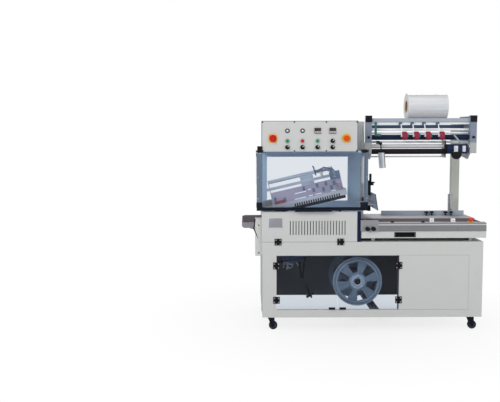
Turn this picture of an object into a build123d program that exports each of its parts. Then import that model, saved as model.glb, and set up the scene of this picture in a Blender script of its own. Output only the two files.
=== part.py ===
"""Automatic L-bar sealer: cabinet, sealing chamber, infeed table and film rack.

Millimetres. The origin is on the floor under the middle of the machine. +X points to the
infeed side, +Y away from the operator and +Z up. Depths are counted from the cabinet's front.
"""
from build123d import *
import math
import os

os.makedirs("parts", exist_ok=True)

# Clearances and common stock
running = 0.05              # radial clearance of a shaft in its bore
soft_gap = 0.3              # gap between curved faces that only touch in use
panel_gap = 2.0             # gap round doors and removable panels
sheet = 2.0                 # painted sheet
plate = 5.0                 # machined side plates

# Cabinet: a sheet-metal box on a welded tube frame
front = -382.0
cabinet_left = -703.0
cabinet_length = 1530.0
cabinet_depth = 800.0
cabinet_bottom = 95.0
cabinet_height = 530.0
frame_tube = 40.0
frame_wall = 2.5
opening_left = -605.0
opening_length = 1336.0
opening_bottom = 149.0
opening_height = 382.0
opening_fold = 16.0
doors_length = 847.0
door_thickness = 5.0
catch_length = 45.0
catch_height = 15.0
catch_offset = 14.0
catch_depth = 8.0

# Butt hinges of the doors and of the fold-down panel
hinge_height = 48.0
hinge_leaf = 23.0
hinge_leaf_thickness = 3.0
knuckle_radius = 5.0
pin_radius = 2.5
knuckle_gap = 0.4
door_hinge_inset = 69.0
panel_hinge_inset = 113.0

# Casters
caster_inset_left = 58.0
caster_inset_right = 72.0
caster_inset_depth = 50.0
caster_wheel_radius = 30.0
caster_wheel_width = 24.0
caster_trail = 18.0
caster_plate_length = 70.0
caster_plate_width = 60.0
caster_plate_thickness = 4.0
caster_head_radius = 20.0
caster_head_height = 10.0
caster_cheek = 4.0
caster_pin_radius = 6.0
caster_axle_radius = 5.0

# Upper housing of the sealing station
panel_left = -707.0
panel_length = 659.0
panel_height = 209.0
panel_fold = 14.0
slot_count = 20
slot_pitch = 19.9
slot_width = 6.0
slot_height = 98.0
slot_first = -513.0
slot_rise = 50.0
housing_right = 10.0
housing_depth = 640.0
portal_depth = 40.0
low_wall_top = 695.0
left_cheek = 48.0
right_cheek = 43.0
post_overhang = 50.0
sill_top = 858.0
lintel_bottom = 1196.0
roof_top = 1246.0
roof_sheet = 4.0

# Control box on the roof
box_length = 650.0
box_height = 210.0
box_depth = 300.0
faceplate = 2.0
faceplate_lift = 4.0
column_first = -531.0
column_pitch = 103.0
row_lamps = 1392.0
row_buttons = 1322.5
row_selectors = 1279.7
switch_x = -630.0
stop_x = -128.0
switch_z = 1340.0
shank_radius = 6.0
shank_length = 24.0
contact_block = 30.0
contact_depth = 40.0
bezel_radius = 15.0
bezel_height = 5.0
cap_radius = 11.0
cap_height = 9.0
button_lift = 5.0
selector_bar = 7.0
selector_height = 16.0
stop_radius = 20.0
stop_height = 20.0
stop_collar = 31.0
collar_thickness = 3.0
handle_length = 50.0
handle_width = 13.0
handle_height = 24.0
switch_plate = 56.0
thumbwheel_width = 43.0
thumbwheel_height = 38.0
stop_travel_gap = 8.0

# Guard over the chamber
guard_left = -742.0
guard_length = 763.0
guard_bottom = 845.0
guard_top = 1240.0
guard_pivot_rise = 12.0
guard_ahead = 12.0
guard_pane = 5.0
guard_side_depth = 250.0
guard_side_bottom = 1020.0
guard_rail = 23.0
guard_strip = 20.0
guard_strip_thickness = 3.0
ear_radius = 11.0
ear_thickness = 4.0
ear_drop = 36.0
guard_block_length = 36.0
guard_block_depth = 60.0
guard_block_left = 41.0
guard_block_right = 18.0
guard_pin_radius = 5.0
bumper_radius = 9.0
bumper_gap = 1.5
bumper_inset_left = 187.0
bumper_inset_right = 189.0
guard_handle_left = -480.0
guard_handle_length = 251.0
guard_handle_height = 14.0
guard_handle_reach = 24.0
guard_handle_bar = 8.0

# Sealing jaws
seal_plane = 800.0
jaw_left = -650.0
jaw_right = -108.0
jaw_depth = 62.0
jaw_width = 31.0
cross_jaw_width = 24.0
jaw_height = 25.0
jaw_reach = 560.0
jaw_post = 24.0
arm_left = -690.0
arm_right = -100.0
arm_front = 60.0
arm_beam_width = 35.0
arm_beam_height = 40.0
arm_lift = 22.0
arm_rear = 545.0
arm_rear_width = 30.0
pivot_x = -675.0
pivot_radius = 10.0
pivot_post = 18.0
pivot_post_width = 34.0
pivot_gap = 2.0
open_angle = 13.0
knife_thickness = 14.0
knife_left = -640.0
arm_block_x = -350.0
arm_block_size = 90.0
arm_plate_left = -620.0
arm_plate_length = 460.0
arm_plate_height = 88.0
arm_bar_radius = 12.0
arm_bar_rise = 162.0
spring_count = 4
spring_pitch = 34.0
spring_first = -238.0
spring_radius = 9.0
spring_height = 44.0
spring_post_radius = 4.0

# Chamber and outfeed conveyor
conveyor_top = 757.0
belt_thickness = 2.0
belt_front = 105.0
belt_width = 430.0
nose_left = -845.0
nose_radius = 20.0
conveyor_right = -150.0
conveyor_plate_height = 52.0
conveyor_plate_gap = 3.0
nose_height = 24.0
conveyor_leg = 40.0
leg_places = (-600.0, -250.0)
corner_channel_left = -752.0
corner_channel_bottom = 528.0
corner_channel_top = 791.0
corner_channel_front = 18.0
corner_channel_depth = 68.0
roller_shaft = 8.0

# Infeed table, which pulls out towards the operator
table_left = -18.0
table_right = 845.0
table_depth = 590.0
table_bottom = 651.0
table_wall = 3.0
tray_top = 748.0
tray_lip = 20.0
rail_bottom = 698.0
rail_height = 40.0
strip_depth = 60.0
lane_width = 100.0
lane_gap = 5.0
infeed_roller_radius = 18.0
plate_front = 275.0
guide_slot_left = 233.0
guide_slot_length = 251.0
guide_slot_depth = 485.0
guide_slot_width = 10.0
fence_left = 205.0
fence_end_gap = 15.0
fence_depth = 500.0
fence_base = 48.0
fence_height = 33.0
fence_sheet = 4.0
fence_knob_insets = (100.0, 142.0, 245.0, 286.0)
fence_knob_depth = 530.0
post_inset = 97.0
post_depth = 572.0
post_radius = 21.0
post_height = 152.0
post_foot = 6.0
knob_plate_left = -25.0
knob_plate_length = 122.0
knob_plate_bottom = 701.0
knob_plate_height = 76.0
knob_plate_knobs = (20.0, 61.0)
knob_radius = 14.0
knob_height = 22.0
strip_knobs = (200.0, 413.0)
strip_knob_radius = 11.0
strip_knob_height = 9.0
clamp_insets = (221.0, 369.0)
clamp_size = 27.0
clamp_height = 24.0
pull_left = 215.0
pull_length = 136.0
pull_bottom = 662.0
pull_height = 26.0
pull_depth = 18.0
pull_rim = 4.0
table_stop_inset = 100.0
table_stop_depth = 36.0
table_stop_radius = 16.0
table_stop_collar = 24.0
runner_inset = 78.0
runner_width = 24.0
runner_height = 13.0
fence_lift = 0.3

# Film rack on two columns
column_left = 40.0
column_right = 780.0
column_size = 58.0
column_setback = 130.0
column_top = 1464.0
side_left = 33.0
side_right = 778.0
side_width = 46.0
side_front = 200.0
side_depth = 280.0
side_bottom = 1306.0
side_top = 1492.0
side_sheet = 6.0
arm_bottom = 1186.0
arm_rise = 44.0
arm_slope = 60.0
cap_block = 46.0
cap_block_depth = 30.0
bar_radius = 8.0
bars = ((230.0, 1443.0), (250.0, 1399.0), (260.0, 1374.0), (262.0, 1310.0))
band_radius = 12.0
band_place = (380.0, 1421.0)
beam_depth = 212.0
beam_thickness = 6.0
beam_bottom = 1453.0
beam_height = 26.0
silver_radius = 14.5
silver_place = (225.0, 1281.0)
lower_bar_radius = 5.0
lower_bar_place = (232.0, 1207.0)
tube_radius = 19.0
tube_place = (240.0, 1344.0)
nip_radius = 19.0
nip_place = (210.0, 1244.0)
roller_end_gap = 2.0
hanger_x = 596.0
hanger_bottom = 1200.0
hanger_top = 1322.0
hanger_front = 184.0
hanger_depth = 96.0
motor_radius = 35.0
motor_length = 150.0
motor_place = (236.0, 1260.0)
gearhead_radius = 38.0
gearhead_length = 14.0
wheel_places = (309.0, 393.0, 476.0, 574.0)
wheel_radius = 31.0
wheel_width = 32.0
wheel_rise = 11.0
wheel_pin_radius = 4.0
perforator_lug = 9.0
perforator_tube = 4.0
clamp_block = 22.0
roll_left = 362.0
roll_length = 288.0
roll_radius = 96.0
roll_bore = 38.0
roll_depth = 400.0
cradle_radius = 20.0
cradle_z = 1461.0
cradle_spread = 48.0
rack_shaft = 8.0
dancer_x = 127.0
dancer_hub = 16.0
dancer_depth = 160.0
dancer_z = 1302.0
dancer_pin_radius = 4.0
dancer_hub_radius = 10.0
dancer_rod_radius = 4.0
dancer_tilt = 5.0
weight_radius = 23.0
weight_length = 108.0
weight_drop = 65.0
dancer_bracket = 6.0

# Crank column, shield and film opener
crank_x = 96.0
crank_depth = 400.0
crank_column_size = 22.0
crank_column_bottom = 800.0
crank_column_top = 1006.0
crank_arm_level = 850.0
crank_arm_height = 30.0
crank_cross_length = 62.0
crank_cross_height = 16.0
crank_shaft_radius = 6.0
crank_shaft_depth = 40.0
crank_hub_radius = 12.0
crank_hub_height = 20.0
crank_throw = 52.0
crank_bar = 14.0
crank_bar_height = 8.0
crank_grip_radius = 9.0
crank_grip_height = 52.0
shield_front = 93.0
shield_bottom = 834.0
shield_top = 940.0
shield_thickness = 5.0
opener_left = -20.0
opener_front = 120.0
opener_z = 868.0
opener_thickness = 4.0
opener_block = 18.0
opener_block_height = 50.0

# Waste film reel
reel_x = -28.0
reel_z = 329.0
reel_radius = 174.0
reel_front = 100.0
reel_width = 300.0
reel_disc = 4.0
reel_core_radius = 51.0
reel_bore = 15.0
reel_window_inner = 68.0
reel_window_outer = 140.0
reel_window_angle = 15.0
reel_windows = 6
reel_phase = 45.0
reel_stand_x = 105.0
reel_stand_gap = 12.0
reel_stand_thickness = 25.0
reel_stand_width = 36.0
reel_hub_radius = 32.0

# Arm lift motor on the cabinet's left rail
lift_motor_x = -560.0
lift_motor_depth = 150.0
lift_motor_z = 500.0

# Worked out from the sizes above
cabinet_right = cabinet_left + cabinet_length
cabinet_back = front + cabinet_depth
cabinet_top = cabinet_bottom + cabinet_height
opening_right = opening_left + opening_length
opening_top = opening_bottom + opening_height
doors_right = opening_left + doors_length
doors_top = opening_top - panel_gap
inner_left = cabinet_left + sheet
inner_right = cabinet_right - sheet
inner_front = front + sheet
inner_back = cabinet_back - sheet
panel_right = panel_left + panel_length
panel_bottom = cabinet_top + panel_gap
panel_top = cabinet_top + panel_height + panel_gap
fold_depth = front + opening_fold + sheet
hinge_seat = knuckle_radius + soft_gap
guard_right = guard_left + guard_length
guard_pin_y = front - guard_ahead + guard_pane / 2
guard_pin_z = guard_top + guard_pivot_rise
table_stop_x = table_right - table_stop_inset
post_x = table_right - post_inset
fence_right = table_right - fence_end_gap
fence_knobs = [fence_right - inset for inset in fence_knob_insets]
clamp_places = [table_right - inset for inset in clamp_insets]
runner_places = (table_left + runner_inset, table_right - runner_inset - runner_width)
column_depth = cabinet_depth - column_setback


def block(x0, x1, y0, y1, z0, z1):
    """A box between two corners."""
    middle = Pos((x0 + x1) / 2, (y0 + y1) / 2, (z0 + z1) / 2)
    return middle * Box(x1 - x0, y1 - y0, z1 - z0)


def rod_x(x0, x1, y, z, radius):
    """A round bar along X."""
    return Pos((x0 + x1) / 2, y, z) * Rot(0, 90, 0) * Cylinder(radius, x1 - x0)


def rod_y(x, y0, y1, z, radius):
    """A round bar along Y."""
    return Pos(x, (y0 + y1) / 2, z) * Rot(90, 0, 0) * Cylinder(radius, y1 - y0)


def rod_z(x, y, z0, z1, radius):
    """A round bar along Z."""
    return Pos(x, y, (z0 + z1) / 2) * Cylinder(radius, z1 - z0)


def box_tube(x0, x1, y0, y1, z0, z1, along, wall=frame_wall):
    """A rectangular tube between two corners, open at the ends along one axis."""
    grow = {axis: wall if axis == along else -wall for axis in "xyz"}
    inner = block(x0 - grow["x"], x1 + grow["x"], y0 - grow["y"], y1 + grow["y"],
                  z0 - grow["z"], z1 + grow["z"])
    return block(x0, x1, y0, y1, z0, z1) - inner


def prism_xz(points, y0, y1):
    """A plate with an outline in the XZ plane, between two depths."""
    outline = make_face(Polyline(*[(x, y0, z) for x, z in points], close=True))
    return extrude(outline, amount=y1 - y0, dir=(0, 1, 0))


def prism_yz(points, x0, x1):
    """A plate with an outline in the YZ plane, between two X places."""
    outline = make_face(Polyline(*[(x0, y, z) for y, z in points], close=True))
    return extrude(outline, amount=x1 - x0, dir=(1, 0, 0))


def save(name, *solids):
    """Write the separate solids of one sub-part."""
    pieces = [solid for shape in solids for solid in shape.solids()]
    shape = pieces[0] if len(pieces) == 1 else Compound(children=pieces)
    export_step(shape, f"parts/{name}.step")


def hinge_halves():
    """A butt hinge about local Z with the wall behind it, at local +Y.

    The first half has the two outer knuckles and the pin, the second half the middle one."""
    half = hinge_height / 2
    zone = hinge_height / 6
    leaf_front = hinge_seat - hinge_leaf_thickness
    edge = knuckle_gap * 2
    middle_knuckle = Cylinder(knuckle_radius, 2 * (zone - knuckle_gap))
    outer = Pos(0, 0, (half + zone) / 2) * Cylinder(knuckle_radius, half - zone)
    lower = Pos(0, 0, -(half + zone) / 2) * Cylinder(knuckle_radius, half - zone)
    pin = Cylinder(pin_radius, hinge_height)
    fixed = block(-hinge_leaf, -edge, leaf_front, hinge_seat, -half, half)
    fixed -= Cylinder(knuckle_radius + knuckle_gap, 2 * zone)
    fixed = fixed + outer + lower + pin
    moving = block(edge, hinge_leaf, leaf_front, hinge_seat, -half, half)
    for side in (-1, 1):
        clear = Pos(0, 0, side * (half + zone) / 2)
        moving -= clear * Cylinder(knuckle_radius + knuckle_gap, half - zone + 2 * knuckle_gap)
    moving = moving + middle_knuckle
    moving -= Cylinder(pin_radius + running, hinge_height)
    return fixed, moving


def frame_tubes():
    """Posts, rails, cross member, caster plates, reel stand, runners and rack columns."""
    post_top = cabinet_top - sheet
    x_posts = (inner_left, inner_right - frame_tube)
    y_posts = (inner_front, inner_back - frame_tube)
    solids = []
    for x in x_posts:
        for y in y_posts:
            solids.append(box_tube(x, x + frame_tube, y, y + frame_tube,
                                   cabinet_bottom, post_top, "z"))
    for z in (cabinet_bottom, post_top - frame_tube):
        for y in y_posts:
            solids.append(box_tube(x_posts[0] + frame_tube, x_posts[1], y, y + frame_tube,
                                   z, z + frame_tube, "x"))
        for x in x_posts:
            solids.append(box_tube(x, x + frame_tube, y_posts[0] + frame_tube, y_posts[1],
                                   z, z + frame_tube, "y"))
    mullion = doors_right + panel_gap * 2
    solids.append(box_tube(mullion, mullion + frame_tube, fold_depth, fold_depth + frame_tube,
                           cabinet_bottom + frame_tube, post_top - frame_tube, "z"))
    member = reel_stand_x - frame_tube / 2
    solids.append(box_tube(member, member + frame_tube, y_posts[0] + frame_tube, y_posts[1],
                           cabinet_bottom, cabinet_bottom + frame_tube, "y"))
    solids += [caster_plate(*place) for place in caster_places().values()]
    solids.append(reel_stand())
    for x in runner_places:
        solids.append(block(x, x + runner_width, front + strip_depth, front + table_depth,
                            cabinet_top, cabinet_top + runner_height - fence_lift))
    for x in (column_left, column_right):
        solids.append(box_tube(x, x + column_size, front + column_depth,
                               front + column_depth + column_size,
                               cabinet_top, column_top, "z"))
    return solids


def caster_places():
    """The middle of each caster's king pin."""
    left = cabinet_left + caster_inset_left
    right = cabinet_right - caster_inset_right
    near = front + caster_inset_depth
    far = cabinet_back - caster_inset_depth
    return {"front_left": (left, near), "front_right": (right, near),
            "rear_left": (left, far), "rear_right": (right, far)}


def caster_plate(x, y):
    """A top plate with the bore that the king pin turns in."""
    half_length = caster_plate_length / 2
    half_width = caster_plate_width / 2
    base = cabinet_bottom - caster_plate_thickness
    body = block(x - half_length, x + half_length, y - half_width, y + half_width,
                 base, cabinet_bottom)
    return body - rod_z(x, y, base, cabinet_bottom, caster_pin_radius + running)


def caster_fork(x, y):
    """Fork with its king pin above and its axle across the two cheeks."""
    head_top = cabinet_bottom - caster_plate_thickness - soft_gap
    head_bottom = head_top - caster_head_height
    fork = rod_z(x, y, head_bottom, head_top, caster_head_radius)
    fork += rod_z(x, y, head_top, cabinet_bottom - soft_gap, caster_pin_radius)
    axle_x = x + caster_trail
    inner = caster_wheel_width / 2 + panel_gap
    reach = caster_head_radius / 2
    low = caster_wheel_radius - reach
    outline = [(x - caster_head_radius, head_top - sheet), (axle_x + reach, head_top - sheet),
               (axle_x + reach, low), (axle_x - reach, low)]
    for y0 in (y - inner - caster_cheek, y + inner):
        fork += prism_xz(outline, y0, y0 + caster_cheek)
    bridge = inner + caster_cheek
    fork += block(x - caster_head_radius, axle_x + reach, y - bridge, y + bridge,
                  head_bottom, head_top - sheet)
    fork += rod_y(axle_x, y - bridge, y + bridge, caster_wheel_radius, caster_axle_radius)
    return fork


def caster_wheel(x, y):
    """Wheel on its bore, with a groove each side of the tread."""
    axle_x = x + caster_trail
    half = caster_wheel_width / 2
    wheel = rod_y(axle_x, y - half, y + half, caster_wheel_radius, caster_wheel_radius)
    wheel = fillet(wheel.edges().filter_by(GeomType.CIRCLE), caster_cheek)
    return wheel - rod_y(axle_x, y - half, y + half, caster_wheel_radius,
                         caster_axle_radius + running)


def reel_stand():
    """Bearing hub of the waste reel on a slanted leg, with the shaft that carries the reel."""
    y0 = front + reel_front + reel_width + reel_stand_gap
    y1 = y0 + reel_stand_thickness
    foot_z = cabinet_bottom + frame_tube
    half = reel_stand_width / 2
    leg = prism_xz([(reel_stand_x - half, foot_z), (reel_stand_x + half, foot_z),
                    (reel_x + half, reel_z), (reel_x - half, reel_z)], y0, y1)
    leg += rod_y(reel_x, y0, y1, reel_z, reel_hub_radius)
    leg += rod_y(reel_x, front + reel_front - reel_disc, y1, reel_z, reel_bore)
    return leg


def front_fascia():
    """Front sheet with the large opening and a fold round its edge."""
    face = block(cabinet_left, cabinet_right, front, inner_front, cabinet_bottom, cabinet_top)
    face += block(opening_left - sheet, opening_right + sheet, inner_front, fold_depth,
                  opening_bottom - sheet, opening_top + sheet)
    return face - block(opening_left, opening_right, front, fold_depth,
                        opening_bottom, opening_top)


def cabinet_panels():
    """Side, rear and deck sheets and the removable right front panel."""
    left = block(cabinet_left, inner_left, inner_front, cabinet_back, cabinet_bottom, cabinet_top)
    right = block(inner_right, cabinet_right, inner_front, cabinet_back,
                  cabinet_bottom, cabinet_top)
    rear = block(inner_left, inner_right, inner_back, cabinet_back, cabinet_bottom, cabinet_top)
    deck = block(inner_left, inner_right, inner_front, inner_back, cabinet_top - sheet, cabinet_top)
    x0 = doors_right + panel_gap * 2
    x1 = opening_right - panel_gap / 2
    z0 = opening_bottom + panel_gap / 2
    z1 = opening_top - panel_gap / 2
    cover = block(x0, x1, front, fold_depth, z0, z1)
    cover -= block(x0 + sheet, x1 - sheet, inner_front, fold_depth, z0 + sheet, z1 - sheet)
    return left, right, rear, deck, cover


def hinge_at(x, y, z, turn, half):
    """Place one hinge half with its pin at a point."""
    return Pos(x, y, z) * turn * half


def hinge_spots():
    """Pin places and turns of the doors' and the fold-down panel's hinges."""
    pin_y = front - hinge_seat
    rises = (opening_bottom + door_hinge_inset, doors_top - door_hinge_inset)
    left = [(opening_left, pin_y, z, Rot(0, 0, 0)) for z in rises]
    right = [(doors_right + panel_gap, pin_y, z, Rot(0, 180, 0)) for z in rises]
    seam = cabinet_top + panel_gap / 2
    folds = (panel_left + panel_hinge_inset, panel_right - panel_hinge_inset)
    below = [(x, pin_y, seam, Rot(0, -90, 0)) for x in folds]
    return {"left": left, "right": right, "panel": below}


def door(side):
    """One tinted door with its hinge halves and its catch."""
    middle = (opening_left + doors_right) / 2
    z0 = opening_bottom + panel_gap
    if side == "left":
        x0 = opening_left + panel_gap
        x1 = middle - panel_gap / 2
        catch_x = x1 - catch_offset - catch_length
    else:
        x0 = middle + panel_gap / 2
        x1 = doors_right
        catch_x = x0 + catch_offset
    pane = block(x0, x1, front, front + door_thickness, z0, doors_top)
    catch = block(catch_x, catch_x + catch_length, front - catch_depth, front,
                  z0, z0 + catch_height)
    halves = [hinge_at(*spot, hinge_halves()[1]) for spot in hinge_spots()[side]]
    return [pane, catch] + halves


def vent_panel():
    """Fold-down front panel with its louvre slots and hinge halves."""
    back = front + panel_fold
    body = block(panel_left, panel_right, front, inner_front, panel_bottom, panel_top)
    body += block(panel_left, panel_right, inner_front, back, panel_top - sheet, panel_top)
    for x in (panel_left, panel_right - sheet):
        body += block(x, x + sheet, inner_front, back, panel_bottom + panel_fold, panel_top)
    for i in range(slot_count):
        x = slot_first + i * slot_pitch
        slot = block(x, x + slot_width, front, inner_front, cabinet_top + slot_rise,
                     cabinet_top + slot_rise + slot_height)
        body -= slot
    halves = [hinge_at(*spot, hinge_halves()[1]) for spot in hinge_spots()["panel"]]
    return [body] + halves


def upper_housing():
    """Portal behind the chamber, low side walls and the roof under the control box."""
    back = front + housing_depth
    face = back - portal_depth
    wall_front = front + panel_fold + sheet
    roof_bottom = roof_top - roof_sheet
    left_end = cabinet_left + left_cheek
    right_start = housing_right - right_cheek
    wall_right = panel_right - sheet * 3
    return [
        block(cabinet_left, inner_left, wall_front, face, cabinet_top, low_wall_top),
        block(wall_right, wall_right + sheet, wall_front, face, cabinet_top, low_wall_top),
        box_tube(cabinet_left, left_end, face, back, cabinet_top, roof_bottom, "z", sheet),
        box_tube(right_start, housing_right + post_overhang, face, back, cabinet_top,
                 roof_bottom, "z", sheet),
        box_tube(left_end, right_start, face, back, cabinet_top, sill_top, "x", sheet),
        box_tube(left_end, right_start, face, back, lintel_bottom, roof_bottom, "x", sheet),
        block(cabinet_left, housing_right, front + guard_ahead, back, roof_bottom, roof_top),
    ]


def guard_hinge_block(x0, x1, height):
    """A block on the roof's edge with a round nose, bored for one hinge pin of the guard."""
    body = block(x0, x1, guard_pin_y, guard_pin_y + guard_block_depth, roof_top,
                 roof_top + height)
    body += rod_x(x0, x1, guard_pin_y, guard_pin_z, ear_radius)
    return body - rod_x(x0, x1, guard_pin_y, guard_pin_z, guard_pin_radius + running)


def hinge_leaves():
    """Fixed halves of all butt hinges and the guard's two hinge blocks."""
    fixed = hinge_halves()[0]
    solids = [hinge_at(*spot, fixed) for spots in hinge_spots().values() for spot in spots]
    left = guard_left + guard_pane + soft_gap
    right = guard_right - guard_pane - soft_gap
    solids.append(guard_hinge_block(left, cabinet_left + faceplate / 2, guard_block_left))
    solids.append(guard_hinge_block(right - guard_block_length, right, guard_block_right))
    return solids


def control_positions():
    """X places of the four middle columns of controls."""
    return [column_first + i * column_pitch for i in range(4)]


def control_spots():
    """Where each control's shank goes through the face plate."""
    columns = control_positions()
    spots = {
        "main_switch": (switch_x, switch_z),
        "start_button": (columns[0], row_buttons),
        "stop_button": (columns[1], row_buttons),
        "reset_button": (columns[2], row_buttons),
        "mode_selector": (columns[3], row_buttons),
        "emergency_stop": (stop_x, switch_z),
    }
    names = ("film_selector", "feed_selector", "belt_selector", "seal_selector")
    for name, x in zip(names, columns):
        spots[name] = (x, row_selectors)
    return spots


def control_box():
    """Casing of the control box, open towards the face plate."""
    x0 = cabinet_left + faceplate / 2
    x1 = x0 + box_length
    z1 = roof_top + box_height
    casing = block(x0, x1, front, front + box_depth, roof_top, z1)
    return casing - block(x0 + sheet, x1 - sheet, front, front + box_depth - sheet,
                          roof_top + sheet, z1 - sheet)


def control_faceplate():
    """Face plate with a hole for each shank."""
    x0 = cabinet_left + faceplate / 2
    z0 = roof_top + faceplate_lift
    face = block(x0, x0 + box_length, front - faceplate, front, z0, roof_top + box_height)
    for x, z in control_spots().values():
        face -= rod_y(x, front - faceplate, front, z, shank_radius + sheet)
    return face


def ring(x, z, y0, y1, outer, inner):
    """A flat ring on the face plate."""
    return rod_y(x, y0, y1, z, outer) - rod_y(x, y0, y1, z, inner)


def contact(x, z):
    """Contact block behind the face plate, bored for the shank."""
    half = contact_block / 2
    body = block(x - half, x + half, front, front + contact_depth, z - half, z + half)
    return body - rod_y(x, front, front + contact_depth - sheet, z, shank_radius + running)


def panel_fittings():
    """Contact blocks, bezels, collars, lamps and thumbwheel units."""
    face = front - faceplate
    bore = shank_radius + running
    solids = [contact(x, z) for x, z in control_spots().values()]
    for name, (x, z) in control_spots().items():
        if name == "emergency_stop":
            solids.append(ring(x, z, face - collar_thickness, face, stop_collar, bore))
        elif name == "main_switch":
            half = switch_plate / 2
            base = block(x - half, x + half, face - collar_thickness, face, z - half, z + half)
            solids.append(base - rod_y(x, face - collar_thickness, face, z, bore))
        elif name.endswith("button"):
            solids.append(ring(x, z, face - bezel_height, face, bezel_radius,
                               cap_radius + soft_gap))
        else:
            solids.append(ring(x, z, face - bezel_height, face, bezel_radius, bore))
    columns = control_positions()
    for x in columns[:2]:
        solids.append(ring(x, row_lamps, face - bezel_height, face, bezel_radius, cap_radius))
        solids.append(rod_y(x, face - bezel_height, face, row_lamps, cap_radius))
    for x in columns[2:]:
        solids.append(block(x - thumbwheel_width / 2, x + thumbwheel_width / 2,
                            face - cap_height, face, row_lamps - thumbwheel_height / 2,
                            row_lamps + thumbwheel_height / 2))
    return solids


def shank(x, z, y0):
    """The shaft of a control, from its cap into its contact block."""
    return rod_y(x, y0, front + shank_length, z, shank_radius)


def push_button(x, z):
    """Round cap that stands in its bezel with room to travel."""
    face = front - faceplate
    cap = rod_y(x, face - button_lift - cap_height, face - button_lift, z, cap_radius)
    cap = fillet(cap.edges().group_by(Axis.Y)[0], cap_height / 4)
    return cap + shank(x, z, face - button_lift)


def selector(x, z):
    """Round knob with a raised bar across it."""
    face = front - faceplate - bezel_height - soft_gap
    knob = rod_y(x, face - cap_height, face, z, cap_radius + sheet)
    half = selector_bar / 2
    reach = cap_radius + sheet - soft_gap
    knob += block(x - half, x + half, face - selector_height, face, z - reach, z + reach)
    return knob + shank(x, z, face)


def main_switch(x, z):
    """Rotary main switch with a long handle."""
    face = front - faceplate - collar_thickness - soft_gap
    knob = rod_y(x, face - cap_height, face, z, handle_length / 2)
    half = handle_width / 2
    reach = handle_length / 2 - soft_gap
    knob += block(x - half, x + half, face - handle_height, face, z - reach, z + reach)
    return knob + shank(x, z, face)


def emergency_stop(x, z):
    """Mushroom head that stands off its collar by its travel."""
    face = front - faceplate - collar_thickness - stop_travel_gap
    head = rod_y(x, face - stop_height, face, z, stop_radius)
    head = fillet(head.edges().group_by(Axis.Y)[0], stop_height / 2)
    return head + shank(x, z, face)


def guard_panes():
    """Tinted front pane and the two side panes."""
    y0 = front - guard_ahead
    y1 = y0 + guard_pane
    panes = [block(guard_left, guard_right, y0, y1, guard_bottom + guard_rail, guard_top)]
    for x in (guard_left, guard_right - guard_pane):
        panes.append(block(x, x + guard_pane, y1, y1 + guard_side_depth,
                           guard_side_bottom, guard_top))
    return panes


def guard_frame():
    """Bottom rail with handle and bumpers, edge strips, and a pin at each top corner."""
    y0 = front - guard_ahead
    rail = block(guard_left, guard_right, y0 - guard_strip_thickness, y0 + guard_pane + sheet,
                 guard_bottom, guard_bottom + guard_rail)
    solids = []
    for x in (guard_left, guard_right - guard_strip):
        solids.append(block(x, x + guard_strip, y0 - guard_strip_thickness, y0,
                            guard_bottom + guard_rail, guard_top))
    reach = y0 - guard_handle_reach
    top = guard_bottom + guard_handle_bar
    x1 = guard_handle_left + guard_handle_length
    rail += block(guard_handle_left, x1, reach, reach + guard_handle_bar,
                  top - guard_handle_height, top)
    for x in (guard_handle_left, x1 - guard_handle_bar):
        rail += block(x, x + guard_handle_bar, reach, y0, guard_bottom, top)
    solids.append(rail)
    bumper_y = front + panel_fold / 2 + sheet
    for x in (guard_left + bumper_inset_left, guard_right - bumper_inset_right):
        solids.append(block(x - bumper_radius, x + bumper_radius, y0 + guard_pane + sheet,
                            bumper_y, panel_top + bumper_gap, guard_bottom + bumper_radius))
    reach = ear_thickness + soft_gap + guard_pane + guard_block_length / 2
    for x0, x1, pin0, pin1 in (
            (guard_left - ear_thickness, guard_left, guard_left, guard_left + reach),
            (guard_right, guard_right + ear_thickness, guard_right - reach, guard_right)):
        ear = rod_x(x0, x1, guard_pin_y, guard_pin_z, ear_radius)
        ear += block(x0, x1, guard_pin_y - ear_radius, guard_pin_y + ear_radius,
                     guard_pin_z - ear_drop, guard_pin_z)
        solids.append(ear + rod_x(pin0, pin1, guard_pin_y, guard_pin_z, guard_pin_radius))
    return solids


def lower_seal_jaw():
    """L-shaped lower jaw on posts, arm pivot posts with pins and the lead-in plate."""
    y0 = front + jaw_depth
    y1 = y0 + jaw_width
    top = seal_plane - soft_gap
    bottom = top - jaw_height
    reach = front + jaw_reach
    cross = jaw_right - cross_jaw_width
    jaw = block(jaw_left, jaw_right, y0, y1, bottom, top)
    jaw += block(cross, jaw_right, y1, reach, bottom, top)
    solids = [jaw]
    for x in (jaw_left, cross):
        solids.append(block(x, x + jaw_post, y0, y1, cabinet_top, bottom))
    solids.append(block(cross, jaw_right, reach - jaw_post / 2, reach, cabinet_top, bottom))
    lead = [(jaw_right, top), (jaw_right, top - plate), (table_left - sheet, conveyor_top - plate),
            (table_left - sheet, conveyor_top - sheet)]
    solids.append(prism_xz(lead, front + belt_front, front + belt_front + belt_width))
    pivot_z = arm_pivot_z()
    half = pivot_post_width / 2
    post_top = pivot_z + half
    near = front + arm_front - pivot_gap
    far = front + arm_rear + arm_rear_width + pivot_gap
    pins = ((near - pivot_post, near, near, near + pivot_gap + arm_beam_width),
            (far, far + pivot_post, far - pivot_gap - arm_rear_width, far))
    for p0, p1, pin0, pin1 in pins:
        post = block(pivot_x - half, pivot_x + half, p0, p1, cabinet_top, post_top)
        solids.append(post + rod_y(pivot_x, pin0, pin1, pivot_z, pivot_radius))
    return solids


def arm_pivot_z():
    """Height of the arm's pivot, in the middle of its beams when it is closed."""
    return seal_plane + arm_lift + arm_beam_height / 2


def open_arm(shape):
    """Turn a shape of the closed arm to the open position."""
    pivot = Pos(pivot_x, 0, arm_pivot_z())
    back = Pos(-pivot_x, 0, -arm_pivot_z())
    return pivot * Rot(0, -open_angle, 0) * back * shape


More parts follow.
